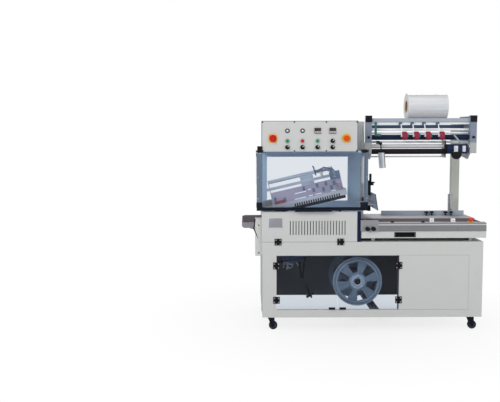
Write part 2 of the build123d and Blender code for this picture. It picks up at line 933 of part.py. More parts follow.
def seal_arm_frame():
    """Upper arm: two beams and a cross beam, with its plate, block, tie bar and springs."""
    z0 = seal_plane + arm_lift
    z1 = z0 + arm_beam_height
    y0 = front + arm_front
    y1 = y0 + arm_beam_width
    y2 = front + arm_rear
    y3 = y2 + arm_rear_width
    frame = block(arm_left, arm_right, y0, y1, z0, z1) + block(arm_left, arm_right, y2, y3, z0, z1)
    frame += block(arm_right - frame_tube, arm_right, y1, y2, z0, z1)
    frame -= rod_y(pivot_x, y0, y3, arm_pivot_z(), pivot_radius + running)
    plate_y = y0 + plate
    x1 = arm_plate_left + arm_plate_length
    upright = block(arm_plate_left, x1, plate_y, plate_y + plate, z1, z1 + arm_plate_height)
    bar_z = z1 + arm_bar_rise
    bar = rod_x(arm_plate_left, x1, y0 + arm_beam_width / 2, bar_z, arm_bar_radius)
    size = arm_block_size
    bracket = block(arm_block_x - size / 2, arm_block_x + size / 2, plate_y + plate,
                    y1 - sheet, z1, bar_z)
    bracket -= rod_x(arm_plate_left, x1, y0 + arm_beam_width / 2, bar_z, arm_bar_radius)
    solids = [frame, upright, bar, bracket]
    for x in (arm_plate_left, x1 - plate):
        post = block(x, x + plate, plate_y + plate, y1 - sheet, z1, bar_z + arm_bar_radius)
        solids.append(post - rod_x(x, x + plate, y0 + arm_beam_width / 2, bar_z, arm_bar_radius))
    for i in range(spring_count):
        x = spring_first + i * spring_pitch
        y = y1 - spring_radius
        solids.append(rod_z(x, y, z1, z1 + spring_height, spring_radius))
        solids.append(rod_z(x, y, z1 + spring_height, z1 + spring_height + arm_lift,
                            spring_post_radius))
    return [open_arm(solid) for solid in solids]


def seal_knife():
    """L-shaped heated knife under the arm."""
    z0 = seal_plane
    z1 = seal_plane + arm_lift
    y0 = front + jaw_depth + (jaw_width - knife_thickness) / 2
    x1 = jaw_right - (cross_jaw_width - knife_thickness) / 2
    knife = block(knife_left, x1, y0, y0 + knife_thickness, z0, z1)
    knife += block(x1 - knife_thickness, x1, y0, front + arm_rear, z0, z1)
    return open_arm(knife)


def belt_loop(x0, x1, y0, y1, top, radius):
    """A closed flat belt round two rollers at its ends, with its outer face at a height."""
    outer = radius + belt_thickness
    z = top - outer
    a = x0 + outer
    b = x1 - outer
    shape = block(a, b, y0, y1, z - outer, z + outer)
    shape += rod_y(a, y0, y1, z, outer) + rod_y(b, y0, y1, z, outer)
    hollow = block(a, b, y0, y1, z - radius, z + radius)
    hollow += rod_y(a, y0, y1, z, radius) + rod_y(b, y0, y1, z, radius)
    return shape - hollow


def conveyor_belt():
    """Belt that carries the packs through the chamber and out on the left."""
    y0 = front + belt_front
    return belt_loop(nose_left, conveyor_right, y0, y0 + belt_width, conveyor_top, nose_radius)


def nose_place():
    """Axis of the outfeed roller."""
    return nose_left + nose_radius + belt_thickness, conveyor_top - nose_radius - belt_thickness


def roller_y(x, z, y0, y1, radius, stub0, stub1):
    """A roller along Y with its shaft ends."""
    body = rod_y(x, y0, y1, z, radius)
    return body + rod_y(x, stub0, stub1, z, roller_shaft)


def outfeed_roller():
    """Nose roller inside the outfeed end of the belt."""
    x, z = nose_place()
    y0 = front + belt_front
    y1 = y0 + belt_width
    gap = conveyor_plate_gap
    return roller_y(x, z, y0, y1, nose_radius - soft_gap, y0 - gap - plate, y1 + gap + plate)


def conveyor_bed():
    """Side plates, slider bed, legs, drive roller and the cream corner channel."""
    y0 = front + belt_front - conveyor_plate_gap
    y1 = front + belt_front + belt_width + conveyor_plate_gap
    top = conveyor_top - plate
    low = top - conveyor_plate_height
    nose_x, nose_z = nose_place()
    outline = [(nose_left, top), (conveyor_right, top), (conveyor_right, low),
               (corner_channel_left, low), (nose_left, top - nose_height)]
    drive_x = conveyor_right - nose_radius - belt_thickness
    solids = []
    for p0, p1 in ((y0 - plate, y0), (y1, y1 + plate)):
        side = prism_xz(outline, p0, p1)
        for x in (nose_x, drive_x):
            side -= rod_y(x, p0, p1, nose_z, roller_shaft + running)
        solids.append(side)
    bed_top = conveyor_top - belt_thickness - soft_gap
    reach = nose_radius + belt_thickness + plate
    solids.append(block(nose_x + reach, drive_x - reach, y0, y1, bed_top - plate, bed_top))
    solids.append(roller_y(drive_x, nose_z, front + belt_front, front + belt_front + belt_width,
                           nose_radius - soft_gap, y0 - plate, y1 + plate))
    for x in leg_places:
        solids.append(box_tube(x, x + conveyor_leg, y0 - plate, y1 + plate,
                               cabinet_top, low, "y"))
    channel_y = front + corner_channel_front
    solids.append(box_tube(corner_channel_left, cabinet_left, channel_y,
                           channel_y + corner_channel_depth,
                           corner_channel_bottom, corner_channel_top, "z", sheet))
    return solids


def table_tray():
    """Tray under the infeed belts, open at the top, with a lip folded in along its front."""
    back = front + table_depth
    tray = block(table_left, table_right, front, back, table_bottom, tray_top)
    tray -= block(table_left + table_wall, table_right - table_wall, front + table_wall,
                  back - table_wall, table_bottom + table_wall, tray_top)
    tray -= block(pull_left, pull_left + pull_length, front, front + table_wall,
                  pull_bottom, pull_bottom + pull_height)
    tray += block(table_left, table_right, front, front + tray_lip,
                  tray_top - table_wall, tray_top)
    return tray


def folded_plate(x0, x1, y0, y1, z0, z1):
    """A flat plate with a fold down along its two long edges."""
    shape = block(x0, x1, y0, y1, z1 - table_wall, z1)
    for y in (y0, y1 - table_wall):
        shape += block(x0, x1, y, y + table_wall, z0, z1)
    return shape


def table_plates():
    """Steel rail, top plates, knob plate and the chrome post."""
    rail_face = front - table_wall
    rail = block(table_left, table_right, rail_face, front, rail_bottom, rail_bottom + rail_height)
    strip = folded_plate(table_left, table_right, front, front + strip_depth,
                         tray_top, conveyor_top)
    strip -= rod_z(table_stop_x, front + table_stop_depth, tray_top, conveyor_top,
                   shank_radius + running)
    rear = folded_plate(table_left, table_right, front + plate_front, front + table_depth,
                        tray_top, conveyor_top)
    rear -= block(guide_slot_left, guide_slot_left + guide_slot_length,
                  front + guide_slot_depth, front + guide_slot_depth + guide_slot_width,
                  tray_top, conveyor_top)
    z1 = knob_plate_bottom + knob_plate_height
    small = block(knob_plate_left, knob_plate_left + knob_plate_length,
                  rail_face - table_wall, rail_face, knob_plate_bottom, z1)
    post_y = front + post_depth
    post = rod_z(post_x, post_y, conveyor_top, conveyor_top + post_height, post_radius)
    post += rod_z(post_x, post_y, conveyor_top, conveyor_top + post_foot,
                  post_radius - post_foot)
    return rail, strip, rear, small, post


def infeed_lane(index):
    """Depths of one belt lane."""
    y0 = front + strip_depth + lane_gap + index * (lane_width + lane_gap)
    return y0, y0 + lane_width


def table_belts():
    """The two infeed belts."""
    x0 = table_left + table_wall + panel_gap
    x1 = table_right - table_wall - panel_gap
    lanes = (infeed_lane(0), infeed_lane(1))
    return [belt_loop(x0, x1, y0, y1, conveyor_top, infeed_roller_radius) for y0, y1 in lanes]


def infeed_roller_place():
    """Axis of the roller at the infeed end."""
    reach = infeed_roller_radius + belt_thickness
    return table_right - table_wall - panel_gap - reach, conveyor_top - reach


def infeed_roller():
    """Roller inside the infeed end of both belts."""
    x, z = infeed_roller_place()
    y0 = infeed_lane(0)[0]
    y1 = infeed_lane(1)[1]
    stub0 = front + table_wall + soft_gap
    stub1 = y1 + lane_gap + table_wall
    return roller_y(x, z, y0, y1, infeed_roller_radius - soft_gap, stub0, stub1)


def knob(x, y, z0, radius, height):
    """A round knob standing on a plate."""
    return rod_z(x, y, z0, z0 + height, radius)


def table_fittings():
    """Knobs, guide clamps, stop collar, inner runners and roller brackets."""
    solids = []
    face = front - 2 * table_wall
    mid_z = rail_bottom + rail_height / 2
    for x in knob_plate_knobs:
        solids.append(rod_y(x, face - knob_height, face, mid_z, knob_radius))
    for x in strip_knobs:
        solids.append(knob(x, front + strip_depth / 2, conveyor_top, strip_knob_radius,
                           strip_knob_height))
    for x in clamp_places:
        half = clamp_size / 2
        y0 = front + strip_depth - clamp_size
        body = block(x - half, x + half, y0, y0 + clamp_size, conveyor_top,
                     conveyor_top + clamp_height)
        solids.append(body - rod_y(x, y0, y0 + clamp_size, conveyor_top + clamp_height / 2,
                                   strip_knob_radius / 2))
    solids.append(rod_z(table_stop_x, front + table_stop_depth, conveyor_top,
                        conveyor_top + collar_thickness, table_stop_collar)
                  - rod_z(table_stop_x, front + table_stop_depth, conveyor_top,
                          conveyor_top + collar_thickness, shank_radius + running))
    for x in runner_places:
        solids.append(block(x, x + runner_width, front + strip_depth, front + table_depth,
                            cabinet_top + runner_height, table_bottom))
    roller_x, roller_z = infeed_roller_place()
    for y in (front + table_wall, infeed_lane(1)[1] + lane_gap):
        side = block(roller_x - infeed_roller_radius, table_right - table_wall, y, y + table_wall,
                     table_bottom + table_wall, tray_top - table_wall)
        solids.append(side - rod_y(roller_x, y, y + table_wall, roller_z, roller_shaft + running))
    return solids


def table_pull():
    """Recessed pull in the tray's front."""
    cup = block(pull_left, pull_left + pull_length, front, front + pull_depth,
                pull_bottom, pull_bottom + pull_height)
    return cup - block(pull_left + pull_rim, pull_left + pull_length - pull_rim, front,
                       front + pull_depth - pull_rim, pull_bottom + pull_rim,
                       pull_bottom + pull_height - pull_rim)


def table_fence():
    """Angle fence that slides across the table, with its clamp knobs."""
    y0 = front + fence_depth
    z0 = conveyor_top + fence_lift
    fence = block(fence_left, fence_right, y0, y0 + fence_base, z0, z0 + fence_sheet)
    fence += block(fence_left, fence_right, y0, y0 + fence_sheet, z0, z0 + fence_height)
    knob_y = front + fence_knob_depth
    knobs = [knob(x, knob_y, z0 + fence_sheet, knob_radius, knob_height) for x in fence_knobs]
    return [fence] + knobs


def table_e_stop():
    """Mushroom head on the table's front strip."""
    y = front + table_stop_depth
    z0 = conveyor_top + collar_thickness + stop_travel_gap
    head = rod_z(table_stop_x, y, z0, z0 + stop_height, table_stop_radius)
    head = fillet(head.edges().group_by(Axis.Z)[-1], stop_height / 3)
    return head + rod_z(table_stop_x, y, conveyor_top - shank_length / 2, z0, shank_radius)


def depth_at(place):
    """Y and Z of a rack part from its depth and height."""
    return front + place[0], place[1]


def rack_side(x0, web_x):
    """Front flange and web of one side of the rack."""
    y0 = front + side_front
    y1 = y0 + side_depth
    side = block(x0, x0 + side_width, y0, y0 + side_sheet, side_bottom, side_top)
    side += block(web_x, web_x + side_sheet, y0, y1, side_bottom, side_top)
    return side


def rack_arm(x0, web_x):
    """Lower arm that carries a rack side on its column."""
    y0 = front + side_front + side_sheet
    y1 = front + column_depth
    slope = y0 + arm_slope
    outline = [(y0, side_bottom), (y0, arm_bottom + arm_rise), (slope, arm_bottom),
               (y1, arm_bottom + arm_rise), (y1, side_top - arm_slope),
               (y1 - arm_slope, side_bottom)]
    arm = prism_yz(outline, web_x, web_x + side_sheet)
    arm += block(x0, x0 + side_width, y0 - side_sheet, y0, arm_bottom + arm_rise, side_bottom)
    arm += block(x0, x0 + side_width, y1 - side_sheet, y1, arm_bottom + arm_rise,
                 side_top - arm_slope)
    return arm


def rack_bores():
    """Bores of every bar and roller end in the rack's webs."""
    places = [(place, bar_radius) for place in bars]
    places += [(band_place, band_radius), (silver_place, silver_radius),
               (lower_bar_place, lower_bar_radius)]
    turning = [tube_place, nip_place, (roll_depth - cradle_spread, cradle_z),
               (roll_depth + cradle_spread, cradle_z)]
    places += [(place, rack_shaft + running) for place in turning]
    return places


def bored(shape, x0, x1, places):
    """Cut the bores through a plate."""
    for place, radius in places:
        y, z = depth_at(place)
        shape -= rod_x(x0, x1, y, z, radius)
    return shape


def rack_side_plates():
    """Both sides, both lower arms, the roller hanger and the black corner caps."""
    solids = []
    left_web = side_left + side_width - side_sheet
    for x0, web in ((side_left, left_web), (side_right, side_right)):
        for shape in (rack_side(x0, web), rack_arm(x0, web)):
            solids.append(bored(shape, web, web + side_sheet, rack_bores()))
        cap_top = side_top + side_sheet
        cap = block(x0, x0 + cap_block, front + side_front - side_sheet,
                    front + side_front + cap_block_depth, side_top, cap_top)
        cap += block(x0, x0 + cap_block, front + side_front - side_sheet, front + side_front,
                     cap_top - cap_block, cap_top)
        solids.append(cap)
        solids.append(rod_y(x0 + side_width / 2, front + side_front - knob_height / 2,
                            front + side_front, tube_place[1], knob_radius - plate))
    y0 = front + hanger_front
    hanger = block(hanger_x, hanger_x + side_sheet, y0, y0 + hanger_depth,
                   hanger_bottom, hanger_top)
    passing = [(bars[-1], bar_radius), (silver_place, silver_radius),
               (lower_bar_place, lower_bar_radius), (nip_place, rack_shaft + running)]
    solids.append(bored(hanger, hanger_x, hanger_x + side_sheet, passing))
    return solids


def rack_bars():
    """Cross bars, the front beam and the bright guide bar."""
    x0 = side_left + side_width - side_sheet
    x1 = side_right + side_sheet
    solids = [rod_x(x0, x1, *depth_at(place), bar_radius) for place in bars]
    solids.append(rod_x(x0, x1, *depth_at(band_place), band_radius))
    solids.append(rod_x(x0, hanger_x + side_sheet, *depth_at(silver_place), silver_radius))
    solids.append(rod_x(x0, hanger_x + side_sheet, *depth_at(lower_bar_place), lower_bar_radius))
    beam_y = front + beam_depth
    solids.append(block(side_left + side_width, side_right, beam_y, beam_y + beam_thickness,
                        beam_bottom, beam_bottom + beam_height))
    bar_y, bar_z = depth_at(bars[-1])
    y = front + dancer_depth
    x = dancer_x - dancer_bracket
    half = dancer_hub_radius
    bracket = block(x, dancer_x, y - half, bar_y + half + sheet, dancer_z - plate, bar_z + half)
    bracket -= rod_x(x, dancer_x, bar_y, bar_z, bar_radius)
    bracket += rod_x(dancer_x, dancer_x + dancer_hub + sheet, y, dancer_z, dancer_pin_radius)
    solids.append(bracket)
    return solids


def roller_x(x0, x1, place, radius, stub0, stub1):
    """A roller along X with its shaft ends."""
    y, z = depth_at(place)
    return rod_x(x0, x1, y, z, radius) + rod_x(stub0, stub1, y, z, rack_shaft)


def rack_span():
    """Inner faces of the rack's two webs."""
    return side_left + side_width, side_right


def full_roller(place, radius):
    """A roller from web to web, with shaft ends in both."""
    x0, x1 = rack_span()
    return roller_x(x0 + roller_end_gap, x1 - roller_end_gap, place, radius,
                    x0 - side_sheet, x1 + side_sheet)


def nip_roller():
    """Feed roller between the left web and the hanger, driven by the motor."""
    x0 = rack_span()[0]
    return roller_x(x0 + roller_end_gap, hanger_x - roller_end_gap, nip_place, nip_radius,
                    x0 - side_sheet, hanger_x + side_sheet)


def wheel_place():
    """Axis of the perforator wheels, which press on the tube."""
    touch = wheel_radius + tube_radius + soft_gap
    reach = math.sqrt(touch ** 2 - wheel_rise ** 2)
    return tube_place[0] - reach, tube_place[1] + wheel_rise


def perforator_wheels():
    """Four wheels on one axis line."""
    y, z = depth_at(wheel_place())
    half = wheel_width / 2
    wheels = []
    for x in wheel_places:
        wheel = rod_x(x - half, x + half, y, z, wheel_radius)
        wheel = fillet(wheel.edges().filter_by(GeomType.CIRCLE), side_sheet)
        wheels.append(wheel - rod_x(x - half, x + half, y, z, wheel_pin_radius + running))
    return wheels


def perforator_arms():
    """Clamps on the upper bar, tubes down to the wheels and the wheel pins."""
    bar_y, bar_z = depth_at(bars[0])
    y, z = depth_at(wheel_place())
    half = clamp_block / 2
    solids = []
    for x in wheel_places:
        lug = x - wheel_width / 2 - soft_gap - perforator_lug
        clamp = block(lug - half, lug + half, bar_y - half - side_sheet, bar_y + half - plate,
                      bar_z - half, bar_z + half - sheet)
        clamp -= rod_x(lug - half, lug + half, bar_y, bar_z, bar_radius)
        tube_x = lug + perforator_lug / 2
        start = Vector(tube_x, bar_y - half - sheet, bar_z - plate)
        knee = Vector(tube_x, y, z + wheel_radius + half)
        end = Vector(tube_x, y, z)
        path = FilletPolyline(start, knee, end, radius=half)
        tube = sweep(Plane(origin=start, z_dir=path % 0) * Circle(perforator_tube), path)
        arm = tube + rod_x(lug, lug + perforator_lug, y, z, wheel_pin_radius * 2)
        arm += rod_x(lug, x + wheel_width / 2, y, z, wheel_pin_radius)
        solids += [clamp + arm]
    return solids


def gear_motor(x0, x1, y, z, head_side):
    """A motor along X with its gearhead at one end."""
    head0 = x0 - gearhead_length if head_side < 0 else x1
    body = rod_x(x0, x1, y, z, motor_radius)
    head = rod_x(head0, head0 + gearhead_length, y, z, gearhead_radius)
    return body, head


def gear_motors():
    """Film feed motor on the rack's hanger and lift motor in the cabinet."""
    start = hanger_x + side_sheet + gearhead_length
    feed = gear_motor(start, start + motor_length, *depth_at(motor_place), -1)
    y = front + lift_motor_depth
    lift = gear_motor(lift_motor_x, lift_motor_x + motor_length, y, lift_motor_z, 1)
    hang = block(lift_motor_x, lift_motor_x + motor_length, y - motor_radius / 2,
                 y + motor_radius / 2, lift_motor_z, cabinet_top - sheet)
    hang -= rod_x(lift_motor_x, lift_motor_x + motor_length, y, lift_motor_z, motor_radius)
    return [*feed, *lift, hang]


def film_roll():
    """Roll of film on its card core, resting on the two cradle rollers."""
    rest = roll_radius + cradle_radius + soft_gap
    z = cradle_z + math.sqrt(rest ** 2 - cradle_spread ** 2)
    y = front + roll_depth
    roll = rod_x(roll_left, roll_left + roll_length, y, z, roll_radius)
    return roll - rod_x(roll_left, roll_left + roll_length, y, z, roll_bore)


def dancer_arm():
    """Swinging arm with its hub, rod and counterweight."""
    y = front + dancer_depth
    x = dancer_x + soft_gap
    hub = rod_x(x, dancer_x + dancer_hub, y, dancer_z, dancer_hub_radius)
    middle = dancer_x + dancer_hub / 2
    drop = Pos(middle, y, dancer_z) * Rot(0, -dancer_tilt, 0)
    rod_end = weight_drop
    rod = drop * Pos(0, 0, -rod_end / 2) * Cylinder(dancer_rod_radius, rod_end)
    weight = drop * Pos(0, 0, -weight_drop - weight_length / 2)
    arm = hub + rod
    arm -= rod_x(x, dancer_x + dancer_hub, y, dancer_z, dancer_pin_radius + running)
    return arm, weight * Cylinder(weight_radius, weight_length)


def crank_column():
    """Column of the film opener, its bracket to the rack column and its cross bar."""
    half = crank_column_size / 2
    y = front + crank_depth
    column = block(crank_x - half, crank_x + half, y - half, y + half,
                   crank_column_bottom, crank_column_top)
    right = column_left + column_size
    column += block(crank_x - half, right, y + half, front + column_depth,
                    crank_arm_level, crank_arm_level + crank_arm_height)
    reach = crank_cross_length / 2
    column += block(crank_x - reach, crank_x + reach, y - half, y + half,
                    crank_column_top - crank_cross_height, crank_column_top)
    return column - rod_z(crank_x, y, crank_column_top - crank_shaft_depth, crank_column_top,
                          crank_shaft_radius + running)


def crank_handle():
    """Crank with its shaft, throw and upright grip."""
    y = front + crank_depth
    z0 = crank_column_top + soft_gap
    z1 = z0 + crank_hub_height
    crank = rod_z(crank_x, y, z0, z1, crank_hub_radius)
    crank += rod_z(crank_x, y, crank_column_top - crank_shaft_depth + sheet, z0,
                   crank_shaft_radius)
    half = crank_bar / 2
    crank += block(crank_x - half, crank_x + half, y - crank_throw, y, z1 - crank_bar_height, z1)
    return crank + rod_z(crank_x, y - crank_throw, z1 - crank_bar_height, z1 + crank_grip_height,
                         crank_grip_radius)


def side_shield():
    """Tinted shield beside the column."""
    x = crank_x + crank_column_size / 2
    back = front + crank_depth + crank_column_size / 2
    y0 = front + shield_front
    corner = y0 + (back - y0) / 3
    outline = [(y0, shield_bottom), (back, shield_bottom), (back, shield_top),
               (corner, shield_top), (y0, shield_top - (corner - y0))]
    return prism_yz(outline, x, x + shield_thickness)


def film_opener():
    """Plate that opens the folded film, on its block in front of the column."""
    y = front + crank_depth - crank_column_size / 2 - soft_gap
    half = crank_column_size / 2
    body = block(crank_x - half, crank_x + half, y - opener_block, y, opener_z,
                 opener_z + opener_block_height)
    return body + block(opener_left, crank_x + half, front + opener_front, y,
                        opener_z, opener_z + opener_thickness)


def reel_disc_shape(y0):
    """One disc of the reel with its windows."""
    disc = rod_y(reel_x, y0, y0 + reel_disc, reel_z, reel_radius)
    for i in range(reel_windows):
        turn = math.radians(reel_phase + i * 360 / reel_windows)
        spread = math.radians(reel_window_angle)
        corners = []
        for radius, side in ((reel_window_inner, -1), (reel_window_outer, -1),
                             (reel_window_outer, 1), (reel_window_inner, 1)):
            angle = turn + side * spread
            corners.append((reel_x + radius * math.cos(angle), reel_z + radius * math.sin(angle)))
        disc -= prism_xz(corners, y0, y0 + reel_disc)
    return disc


def waste_reel():
    """Two windowed discs on a core tube that turns on the stand's shaft."""
    y0 = front + reel_front
    y1 = y0 + reel_width
    reel = reel_disc_shape(y0) + reel_disc_shape(y1 - reel_disc)
    reel += rod_y(reel_x, y0, y1, reel_z, reel_core_radius)
    return reel - rod_y(reel_x, y0, y1, reel_z, reel_bore + running)


save("frame_tubes", *frame_tubes())
save("cabinet_panels", *cabinet_panels())
save("front_fascia", front_fascia())
save("hinge_leaves", *hinge_leaves())
save("left_door", *door("left"))
save("right_door", *door("right"))
save("vent_panel", *vent_panel())
save("upper_housing", *upper_housing())
save("control_box", control_box(), control_faceplate())
save("panel_fittings", *panel_fittings())
for control, place in control_spots().items():
    if control.endswith("button"):
        save(control, push_button(*place))
    elif control.endswith("selector"):
        save(control, selector(*place))
save("main_switch", main_switch(*control_spots()["main_switch"]))
save("emergency_stop", emergency_stop(*control_spots()["emergency_stop"]))
save("guard_panes", *guard_panes())
save("guard_frame", *guard_frame())
save("lower_seal_jaw", *lower_seal_jaw())
save("seal_arm_frame", *seal_arm_frame())
save("seal_knife", seal_knife())
save("conveyor_bed", *conveyor_bed())
save("conveyor_belt", conveyor_belt())
save("outfeed_roller", outfeed_roller())
save("table_tray", table_tray())
save("table_plates", *table_plates())
save("table_belts", *table_belts())
save("table_fittings", *table_fittings())
save("table_pull", table_pull())
save("table_fence", *table_fence())
save("table_e_stop", table_e_stop())
save("infeed_roller", infeed_roller())
save("rack_side_plates", *rack_side_plates())
save("rack_bars", *rack_bars())
save("perforator_arms", *perforator_arms())
save("perforator_wheels", *perforator_wheels())
save("pressure_tube", full_roller(tube_place, tube_radius))
save("nip_roller", nip_roller())
save("cradle_roller_front", full_roller((roll_depth - cradle_spread, cradle_z), cradle_radius))
save("cradle_roller_rear", full_roller((roll_depth + cradle_spread, cradle_z), cradle_radius))
save("film_roll", film_roll())
save("gear_motors", *gear_motors())
save("dancer_arm", *dancer_arm())
save("crank_column", crank_column())
save("crank_handle", crank_handle())
save("side_shield", side_shield())
save("film_opener", film_opener())
save("waste_reel", waste_reel())
for corner, place in caster_places().items():
    save(f"caster_fork_{corner}", caster_fork(*place))
    save(f"caster_wheel_{corner}", caster_wheel(*place))
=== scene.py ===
"""Looks of the L-bar sealer: finishes for its CAD parts, small fittings, stage and camera."""
import math

import bmesh
import bpy
from mathutils import Matrix, Vector


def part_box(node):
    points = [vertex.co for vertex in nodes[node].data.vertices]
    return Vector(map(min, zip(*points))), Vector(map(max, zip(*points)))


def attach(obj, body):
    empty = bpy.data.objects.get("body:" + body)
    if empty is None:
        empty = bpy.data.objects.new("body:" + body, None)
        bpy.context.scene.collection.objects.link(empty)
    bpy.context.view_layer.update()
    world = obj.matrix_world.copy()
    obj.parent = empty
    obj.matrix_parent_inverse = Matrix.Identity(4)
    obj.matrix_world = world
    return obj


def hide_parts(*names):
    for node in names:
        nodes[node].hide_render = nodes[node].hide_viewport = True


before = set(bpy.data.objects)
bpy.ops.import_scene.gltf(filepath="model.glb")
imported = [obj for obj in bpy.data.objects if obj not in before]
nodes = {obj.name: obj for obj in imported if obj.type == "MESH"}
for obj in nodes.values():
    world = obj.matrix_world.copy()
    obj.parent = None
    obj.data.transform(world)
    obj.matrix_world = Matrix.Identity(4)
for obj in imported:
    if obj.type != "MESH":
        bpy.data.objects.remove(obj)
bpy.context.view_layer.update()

FRONT = -0.382              # front of the cabinet, the vent panel and the control box
FACE = FRONT - 0.002        # front of the face plate
CORNERS = ("front_left", "front_right", "rear_left", "rear_right")
DUST_COLOR = (0.42, 0.40, 0.37, 1.0)
CORE_RADIUS = 0.0445        # outside of the film roll's card core
SHARP_EDGE = math.radians(32.0)


# Shader node groups that the finishes share

def new_group(name, inputs, outputs):
    """An empty shader group with float, colour or vector sockets."""
    group = bpy.data.node_groups.new(name, "ShaderNodeTree")
    kinds = {"c": "NodeSocketColor", "f": "NodeSocketFloat", "v": "NodeSocketVector"}
    for label, kind in inputs:
        group.interface.new_socket(label, in_out="INPUT", socket_type=kinds[kind])
    for label, kind in outputs:
        group.interface.new_socket(label, in_out="OUTPUT", socket_type=kinds[kind])
    return group, group.nodes.new("NodeGroupInput"), group.nodes.new("NodeGroupOutput")


def add(tree, kind, settings=None, **sockets):
    """A node with its settings, and its inputs set to values or linked to other sockets."""
    node = tree.nodes.new(kind)
    for key, value in (settings or {}).items():
        setattr(node, key, value)
    for key, value in sockets.items():
        target = node.inputs[int(key[1:])] if key[0] == "i" and key[1:].isdigit() else (
            node.inputs[key.replace("_", " ")])
        if isinstance(value, bpy.types.NodeSocket):
            tree.links.new(value, target)
        else:
            target.default_value = value
    return node


def math_node(tree, operation, a, b=0.0, clamp=False, c=0.0):
    """The result of one sum."""
    return add(tree, "ShaderNodeMath", {"operation": operation, "use_clamp": clamp},
               i0=a, i1=b, i2=c).outputs[0]


def blend_colors(tree, factor, a, b, how="MIX"):
    """Two colours mixed by a factor."""
    node = tree.nodes.new("ShaderNodeMix")
    node.data_type = "RGBA"
    node.blend_type = how
    for index, value in ((0, factor), (6, a), (7, b)):
        if isinstance(value, bpy.types.NodeSocket):
            tree.links.new(value, node.inputs[index])
        else:
            node.inputs[index].default_value = value
    return node.outputs[2]


def coordinates(tree, scale=(1.0, 1.0, 1.0)):
    """Object coordinates, stretched."""
    where = add(tree, "ShaderNodeTexCoord").outputs["Object"]
    return add(tree, "ShaderNodeMapping", Vector=where, Scale=scale).outputs["Vector"]


def mottle_group():
    """Cloudy change of colour and roughness, with a fine bump."""
    group, into, out = new_group(
        "mottle", [("Color", "c"), ("Change", "f"), ("Size", "f"), ("Roughness", "f"),
                   ("Spread", "f"), ("Grain Size", "f"), ("Grain", "f")],
        [("Color", "c"), ("Roughness", "f"), ("Normal", "v")])
    place = coordinates(group)
    size = math_node(group, "DIVIDE", 1.0, into.outputs["Size"])
    cloud = add(group, "ShaderNodeTexNoise", Vector=place, Scale=size, Detail=6.0,
                Roughness=0.6).outputs["Fac"]
    shift = math_node(group, "SUBTRACT", cloud, 0.5)
    value = math_node(group, "MULTIPLY", shift, into.outputs["Change"])
    value = math_node(group, "ADD", value, 1.0)
    shade = add(group, "ShaderNodeHueSaturation", Color=into.outputs["Color"], Value=value)
    rough = math_node(group, "MULTIPLY", shift, into.outputs["Spread"])
    rough = math_node(group, "ADD", rough, into.outputs["Roughness"], True)
    grain_size = math_node(group, "DIVIDE", 1.0, into.outputs["Grain Size"])
    grain = add(group, "ShaderNodeTexNoise", Vector=place, Scale=grain_size, Detail=2.0)
    bump = add(group, "ShaderNodeBump", Strength=into.outputs["Grain"], Distance=0.0004,
               Height=grain.outputs["Fac"])
    group.links.new(shade.outputs["Color"], out.inputs["Color"])
    group.links.new(rough, out.inputs["Roughness"])
    group.links.new(bump.outputs["Normal"], out.inputs["Normal"])
    return group


def dust_group():
    """Mask of dust: more on faces that look up, in soft patches."""
    group, into, out = new_group("dust", [("Amount", "f"), ("Size", "f")], [("Mask", "f")])
    normal = add(group, "ShaderNodeNewGeometry").outputs["Normal"]
    up = add(group, "ShaderNodeSeparateXYZ", Vector=normal).outputs["Z"]
    up = math_node(group, "MAXIMUM", up, 0.12)
    size = math_node(group, "DIVIDE", 1.0, into.outputs["Size"])
    patch = add(group, "ShaderNodeTexNoise", Vector=coordinates(group), Scale=size,
                Detail=8.0, Roughness=0.7).outputs["Fac"]
    patch = math_node(group, "MULTIPLY", math_node(group, "SUBTRACT", patch, 0.35), 2.0, True)
    mask = math_node(group, "MULTIPLY", math_node(group, "MULTIPLY", up, patch),
                     into.outputs["Amount"], True)
    group.links.new(mask, out.inputs["Mask"])
    return group


def scuff_group():
    """Mask of short sparse scuffs."""
    group, into, out = new_group("scuffs", [("Amount", "f"), ("Size", "f")], [("Mask", "f")])
    size = math_node(group, "DIVIDE", 1.0, into.outputs["Size"])
    bend = add(group, "ShaderNodeTexNoise", Vector=coordinates(group, (1.0, 1.0, 0.35)),
               Scale=size, Detail=4.0, Distortion=1.5).outputs["Fac"]
    thin = math_node(group, "ABSOLUTE", math_node(group, "SUBTRACT", bend, 0.5))
    thin = math_node(group, "SUBTRACT", 1.0, math_node(group, "MULTIPLY", thin, 60.0), True)
    field = add(group, "ShaderNodeTexNoise", Vector=coordinates(group), Scale=9.0,
                Detail=2.0).outputs["Fac"]
    field = math_node(group, "MULTIPLY", math_node(group, "SUBTRACT", field, 0.55), 6.0, True)
    mask = math_node(group, "MULTIPLY", math_node(group, "MULTIPLY", thin, field),
                     into.outputs["Amount"], True)
    group.links.new(mask, out.inputs["Mask"])
    return group


def streak_group():
    """Fine streaks along X, as left by brushing or turning."""
    group, into, out = new_group(
        "streaks", [("Color", "c"), ("Depth", "f"), ("Roughness", "f"), ("Normal", "v")],
        [("Color", "c"), ("Roughness", "f"), ("Normal", "v")])
    fine = add(group, "ShaderNodeTexNoise", Vector=coordinates(group, (3.0, 700.0, 700.0)),
               Scale=1.0, Detail=3.0).outputs["Fac"]
    shift = math_node(group, "MULTIPLY", math_node(group, "SUBTRACT", fine, 0.5),
                      into.outputs["Depth"])
    value = math_node(group, "ADD", shift, 1.0)
    shade = add(group, "ShaderNodeHueSaturation", Color=into.outputs["Color"], Value=value)
    rough = math_node(group, "ADD", math_node(group, "MULTIPLY", shift, 0.5),
                      into.outputs["Roughness"], True)
    bump = add(group, "ShaderNodeBump", Strength=0.15, Distance=0.0002, Height=fine,
               Normal=into.outputs["Normal"])
    group.links.new(shade.outputs["Color"], out.inputs["Color"])
    group.links.new(rough, out.inputs["Roughness"])
    group.links.new(bump.outputs["Normal"], out.inputs["Normal"])
    return group


